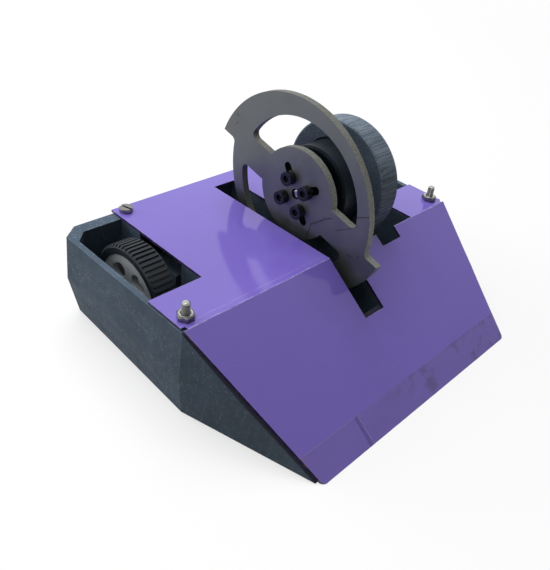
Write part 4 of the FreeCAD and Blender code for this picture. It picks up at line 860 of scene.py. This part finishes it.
@dataclass
class Hull:
    """Tub and bent panel with its tape."""

    shop: Workshop
    slope: float = math.radians(35.1)
    tub_edge: float = 0.35 * MM
    tub_sharp_deg: float = 11.0
    seam_depth: float = 1.5 * MM
    panel_edge: float = 0.22 * MM
    tape_width: float = 11.0 * MM
    tape_fold: float = 0.9 * MM
    tape_lift: float = 0.06 * MM
    tape_lap: Pair = (-33.0 * MM, -31.4 * MM)

    def build(self) -> None:
        """Makes every piece of the hull."""
        low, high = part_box("top_panel")
        # The tub's finish paints a shadow line under the slope's sheet.
        tub = PrintedPlastic("slate_print_tub", "printed_grey", seam_edge=(low.y, low.z),
                             seam_slope=self.slope, seam_depth=self.seam_depth)
        self.shop.refine("chassis", tub, Body.TUB, self.tub_edge, sharp=self.tub_sharp_deg)
        fold = low.y + high.z / math.tan(self.slope)
        sheet = PurpleSheet("purple_sheet", "purple_sheet", fold_y=fold, slope=self.slope)
        self.shop.refine("top_panel", sheet, Body.TUB, self.panel_edge)
        self.tape(Vector((0.0, low.y, low.z)))

    def tape(self, foot: Vector) -> None:
        """Two strips of clear tape that lap along the slope's lower edge, folded over the sheet's edges.

        Args:
            foot: A point of the slope's lower edge.
        """
        up = Vector((0.0, math.cos(self.slope), math.sin(self.slope)))
        out = Vector((0.0, -math.sin(self.slope), math.cos(self.slope)))
        right = Vector(RIGHT)
        lap_left, lap_right = self.tape_lap
        film = ClearTape("clear_tape", "purple_sheet", foot=(foot.y, foot.z), slope=self.slope,
                         width=self.tape_width, parting=(lap_left + lap_right) / 2,
                         lap=(lap_right - lap_left) / 2)
        ends = {"left": (right * lap_right, right, 1), "right": (right * lap_left, -right, 2)}
        for side, (end, way, layer) in ends.items():
            shape = self.shop.copy("top_panel")
            cuts = ((foot + up * self.tape_width, up), (foot - out * self.tape_fold, -out), (end, way))
            for point, outward in cuts:
                cut(shape, point, outward)
            shape.normal_update()
            for vert in shape.verts:
                vert.co += vert.normal * self.tape_lift * layer
            settle(shape, f"tape_{side}", film, Body.TUB)


@dataclass
class Weapon:
    """Disc, outrunner and its mount.

    The disc's strokes are rust hairlines and dents on its left face, in millimetres: the two ends from its
    axis, along Y and Z, and the width.
    """

    shop: Workshop
    strokes: tuple[tuple[float, ...], ...] = (
        (-9.0, -15.5, -8.8, -12.0, 0.35),
        (-8.8, -12.0, -9.6, -8.1, 0.35),
        (-9.6, -8.1, -18.2, -1.2, 0.40),
        (-21.0, -5.2, -27.6, -1.0, 0.25),
        (-29.1, 4.3, -34.7, 6.9, 0.40),
        (-28.8, -11.9, -30.2, -12.0, 0.45),
        (-33.1, -10.4, -33.6, -10.2, 0.40),
        (34.4, 19.1, 34.4, 18.4, 0.45),
        (34.7, 16.1, 34.6, 15.5, 0.45),
    )

    def build(self) -> None:
        """Makes every piece of the weapon, each with a bevel in millimetres and the bevel's steps."""
        low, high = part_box("weapon_disc")
        middle = (low + high) / 2
        strokes = tuple(scaled(stroke, MM) for stroke in self.strokes)
        steel = MillSteel("mill_steel", "disc_steel", middle=(middle.y, middle.z), strokes=strokes)
        for node, finish, body, bevel, steps in (
            ("weapon_disc", steel, Body.ROTOR, 0.12, 2),
            ("disc_screws", BLACK_OXIDE, Body.ROTOR, 0.25, 3),
            ("motor_bell", BELL_BLACK, Body.ROTOR, 0.2, 2),
            ("bell_magnets", NICKEL, Body.ROTOR, 0.1, 2),
            ("motor_shaft", GROUND_STEEL, Body.ROTOR, 1.0, 5),
            ("weapon_motor_mount", MOUNT_PRINT, Body.TUB, 0.35, 2),
            ("motor_base", TURNED, Body.TUB, 0.15, 2),
            ("motor_bearings", GROUND_STEEL, Body.TUB, 0.15, 2),
            ("stator_core", CORE_STEEL, Body.TUB, 0.1, 2),
            ("stator_coils", COPPER, Body.TUB, 0.3, 2),
            ("motor_base_screws", BLACK_OXIDE, Body.TUB, 0.18, 2),
            ("mount_screws", BLACK_OXIDE, Body.TUB, 0.12, 2),
        ):
            self.shop.refine(node, finish, body, bevel * MM, steps)


@dataclass
class Wheel:
    """Tyre, rim and drive of one side."""

    shop: Workshop
    side: str
    body: Body

    def build(self) -> None:
        """Makes the wheel and its gearmotor, each piece with a bevel in millimetres."""
        for part, finish, body, bevel in (
            ("tyre", TREAD, self.body, 0.25),
            ("rim", RIM_PLASTIC, self.body, 0.35),
            ("output_shaft", GROUND_STEEL, self.body, 0.15),
            ("gearbox", BRASS, Body.TUB, 0.2),
            ("drive_motor", CAN_STEEL, Body.TUB, 0.3),
            ("motor_strap", PRINT, Body.TUB, 0.3),
        ):
            self.shop.refine(f"{self.side}_{part}", finish, body, bevel * MM)


@dataclass
class Fasteners:
    """Studs, nuts and screws of the panel and the straps."""

    shop: Workshop
    pitch: float = 0.5 * MM
    root: float = 1.18 * MM
    crest: float = 1.42 * MM
    thread_sharp_deg: float = 30.0
    steps: int = 28
    tip: float = 0.5 * MM
    tip_radius: float = 1.36 * MM
    tip_height: float = 0.56
    face: Pair = (1.75 * MM, 2.35 * MM)
    face_rise: float = 0.12 * MM

    def build(self) -> None:
        """Makes the fasteners."""
        # The stud's core is darkened as painted shade in the thread's valleys.
        self.shop.refine("front_studs", THREAD_ROOT_SHADED, Body.TUB, bevel=self.tip, segments=4)
        self.shop.refine("front_nuts", SHADED_ZINC, Body.TUB, bevel=0.2 * MM)
        self.stud_ends()
        self.shop.refine("rear_screws", DULL_ZINC, Body.TUB, bevel=0.2 * MM)
        self.shop.refine("strap_screws", BLACK_OXIDE, Body.TUB, bevel=0.12 * MM)

    def stud_ends(self) -> None:
        """Gives each stud its rounded tip and its thread, and its nut a face ring; tip and ring are painted
        bright as highlights.
        """
        nut_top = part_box("front_nuts")[1].z
        points = [vert.co for vert in self.shop.nodes["front_studs"].data.vertices]
        top = max(point.z for point in points) - self.tip
        for side, way in (("left", -1.0), ("right", 1.0)):
            half = [point for point in points if point.x * way > 0.0]
            x, y, _ = (sum((min(part), max(part))) / 2 for part in zip(*half))
            self.dome(f"{side}_stud_tip", Vector((x, y, top)))
            self.nut_face(f"{side}_nut_face", Vector((x, y, nut_top)))
            self.thread(f"{side}_stud_thread", Vector((x, y, nut_top - self.pitch)), top)

    def thread(self, name: str, base: Vector, top: float) -> None:
        """Thread wound up a stud, from inside its nut to below its rounded tip.

        Args:
            name: The piece's name.
            base: The thread's start on the stud's axis.
            top: The height that it stays under.
        """
        rounds = math.floor((top - base.z) / self.pitch)
        profile = ((self.root, 0.0), (self.crest, 0.5 * self.pitch), (self.root, self.pitch))
        shape = bmesh.new()
        shape.faces.new([shape.verts.new(base + Vector((radius, 0.0, rise))) for radius, rise in profile])
        bmesh.ops.spin(shape, geom=whole(shape), cent=base, axis=UP, dvec=(0.0, 0.0, self.pitch / self.steps),
                       angle=math.tau * rounds, steps=self.steps * rounds)
        settle(shape, name, THREAD_CREST_HIGHLIT, Body.TUB, sharp=self.thread_sharp_deg)

    def dome(self, name: str, base: Vector) -> None:
        """Rounded end of a stud, painted bright as a highlight.

        Args:
            name: The piece's name.
            base: The middle of its flat side.
        """
        shape = bmesh.new()
        bmesh.ops.create_uvsphere(shape, u_segments=self.steps, v_segments=self.steps // 2,
                                  radius=self.tip_radius)
        cut(shape, (0.0, 0.0, 0.0), scaled(UP, -1.0))
        bmesh.ops.scale(shape, vec=(1.0, 1.0, self.tip_height), verts=shape.verts)
        bmesh.ops.translate(shape, vec=base, verts=shape.verts)
        settle(shape, name, HIGHLIT_ZINC, Body.TUB)

    def nut_face(self, name: str, base: Vector) -> None:
        """Ring that a nut's chamfers leave round its thread, painted bright as a highlight.

        Args:
            name: The piece's name.
            base: The middle of the nut's top.
        """
        inner, outer = self.face
        rise = self.face_rise
        profile = ((inner, 0.0), (inner + rise, rise), (outer - rise, rise), (outer, 0.0))
        shape = bmesh.new()
        verts = [shape.verts.new(base + Vector((radius, 0.0, height))) for radius, height in profile]
        for ends in zip(verts, verts[1:] + verts[:1]):
            shape.edges.new(ends)
        bmesh.ops.spin(shape, geom=whole(shape), cent=base, axis=UP, angle=math.tau, steps=2 * self.steps,
                       use_merge=True)
        settle(shape, name, HIGHLIT_ZINC, Body.TUB)


@dataclass
class Electronics:
    """Battery, speed controllers and receiver in the bays."""

    shop: Workshop

    def build(self) -> None:
        """Makes the electronics."""
        self.shop.refine("battery_pack", SLEEVE, Body.TUB, bevel=0.5 * MM)
        for node in ("weapon_speed_controller", "drive_speed_controller", "receiver"):
            self.shop.refine(node, BOARD, Body.TUB, bevel=0.25 * MM)


@dataclass
class SoftBox:
    """A soft studio lamp, aimed at the robot; only one that shines is seen in glossy surfaces."""

    name: str
    place: Triple
    width: float
    height: float
    power: float
    shine: bool = False
    aim: Triple = (0.0, 0.0, 0.03)

    def build(self) -> None:
        """Places the lamp."""
        lamp = bpy.data.lights.new(self.name, "AREA")
        lamp.shape = "RECTANGLE"
        lamp.size = self.width
        lamp.size_y = self.height
        lamp.energy = self.power
        holder = placed(self.name, lamp)
        holder.location = self.place
        holder.visible_glossy = self.shine
        holder.rotation_euler = (Vector(self.aim) - Vector(self.place)).to_track_quat("-Z", "Y").to_euler()


@dataclass
class Studio:
    """Floor, lamps, surroundings and camera.

    The surroundings have a front and a rear value: for the light that they give, and for what shows in
    gloss.
    """

    image: tuple[int, int] = (550, 570)
    focal_px: float = 647.53
    sensor: float = 36.0
    camera_place: Triple = (-0.168465, -0.1255445, 0.165361)
    heading: float = math.radians(49.6734)
    pitch: float = math.radians(36.0248)
    roll: float = math.radians(8.0438)
    clip_start: float = 0.01
    ambient: Pair = (0.09, 0.36)
    mirrored: Pair = (0.4, 1.0)
    front_to_rear: Pair = (-0.5, 0.4)
    lift: float = 0.3
    floor_size: float = 6.0
    floor_tone: float = 0.16
    floor_seen: float = 0.82
    floor_roughness: float = 0.9
    floor_glow: Pair = (0.62, 1.0)
    floor_fade: Pair = (0.3, 1.0)
    floor_gloss: float = 0.6

    def build(self) -> None:
        """Sets up the studio."""
        bpy.context.scene.view_settings.view_transform = "Standard"
        self.floor()
        self.surroundings()
        SoftBox("key", (0.12, 0.65, 1.50), width=1.4, height=1.2, power=26.5).build()
        SoftBox("fill", (-0.62, 1.10, 0.38), width=0.8, height=0.6, power=9.0).build()
        SoftBox("glow", (-0.26, -0.05, 0.60), width=0.25, height=0.25, power=0.40, shine=True).build()
        self.camera()

    def floor(self) -> None:
        """Pale floor that looks white to the camera and still takes the shadow."""
        shape = bmesh.new()
        bmesh.ops.create_grid(shape, x_segments=1, y_segments=1, size=self.floor_size / 2)
        mesh = bpy.data.meshes.new("floor")
        shape.to_mesh(mesh)
        shape.free()
        paint = bpy.data.materials.new("pale_floor")
        paint.use_nodes = True
        net = Net(paint.node_tree)
        rays = net.node("ShaderNodeLightPath").outputs
        seen = net.larger(rays["Is Camera Ray"], net.times(rays["Is Glossy Ray"], self.floor_gloss))
        net.shade({
            "Base Color": net.mix(seen, scaled(WHITE, self.floor_tone), scaled(WHITE, self.floor_seen)),
            "Roughness": self.floor_roughness,
            "Specular IOR Level": 0.0,
        })
        glow = net.node("ShaderNodeEmission")
        away = net.band(net.vector("LENGTH", net.place()), *self.floor_fade, *self.floor_glow)
        nodes = paint.node_tree.nodes
        inputs = {0: net.times(seen, away), 1: nodes["Principled BSDF"].outputs[0], 2: glow.outputs[0]}
        blend = net.node("ShaderNodeMixShader", inputs)
        net.feed(nodes["Material Output"].inputs["Surface"], blend.outputs[0])
        mesh.materials.append(paint)
        floor = placed("floor", mesh)

    def surroundings(self) -> None:
        """Room light, stronger from the rear and from above, and pure white to the camera."""
        world = bpy.context.scene.world or bpy.data.worlds.new("room")
        bpy.context.scene.world = world
        world.use_nodes = True
        net = Net(world.node_tree)
        ground = world.node_tree.nodes["Background"]
        _, aim_y, aim_z = net.split(net.node("ShaderNodeTexCoord").outputs["Generated"])
        rear = net.plus(aim_y, net.times(aim_z, self.lift))
        soft = net.band(rear, *self.front_to_rear, *self.ambient)
        mirrored = net.band(rear, *self.front_to_rear, *self.mirrored)
        rays = net.node("ShaderNodeLightPath").outputs
        strength = net.blend(rays["Is Glossy Ray"], soft, mirrored)
        net.feed(ground.inputs["Color"], WHITE)
        net.feed(ground.inputs["Strength"], net.blend(rays["Is Camera Ray"], strength, 1.0))

    def camera(self) -> None:
        """Camera at the photograph's place, turn and lens."""
        ahead = Vector((math.sin(self.heading) * math.cos(self.pitch),
                        math.cos(self.heading) * math.cos(self.pitch), -math.sin(self.pitch)))
        level = Vector((math.cos(self.heading), -math.sin(self.heading), 0.0))
        right = level * math.cos(self.roll) + level.cross(ahead) * math.sin(self.roll)
        up = right.cross(ahead)
        lens = bpy.data.cameras.new("photo_camera")
        lens.sensor_width = self.sensor
        lens.lens = self.focal_px * self.sensor / max(self.image)
        lens.clip_start = self.clip_start
        holder = placed("photo_camera", lens)
        axes = Matrix((right, up, -ahead)).transposed()
        holder.matrix_world = Matrix.Translation(self.camera_place) @ axes.to_4x4()
        bpy.context.scene.camera = holder


def main() -> None:
    """Loads the frame and builds every sub-assembly."""
    logging.basicConfig(level=logging.INFO, format="%(name)s: %(message)s")
    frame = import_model()
    shop = Workshop(frame["nodes"])
    assemblies = [
        Hull(shop),
        Weapon(shop),
        Wheel(shop, "left", Body.LEFT_WHEEL),
        Wheel(shop, "right", Body.RIGHT_WHEEL),
        Fasteners(shop),
        Electronics(shop),
        Studio(),
    ]
    for assembly in assemblies:
        assembly.build()


if __name__ == "__main__":
    main()
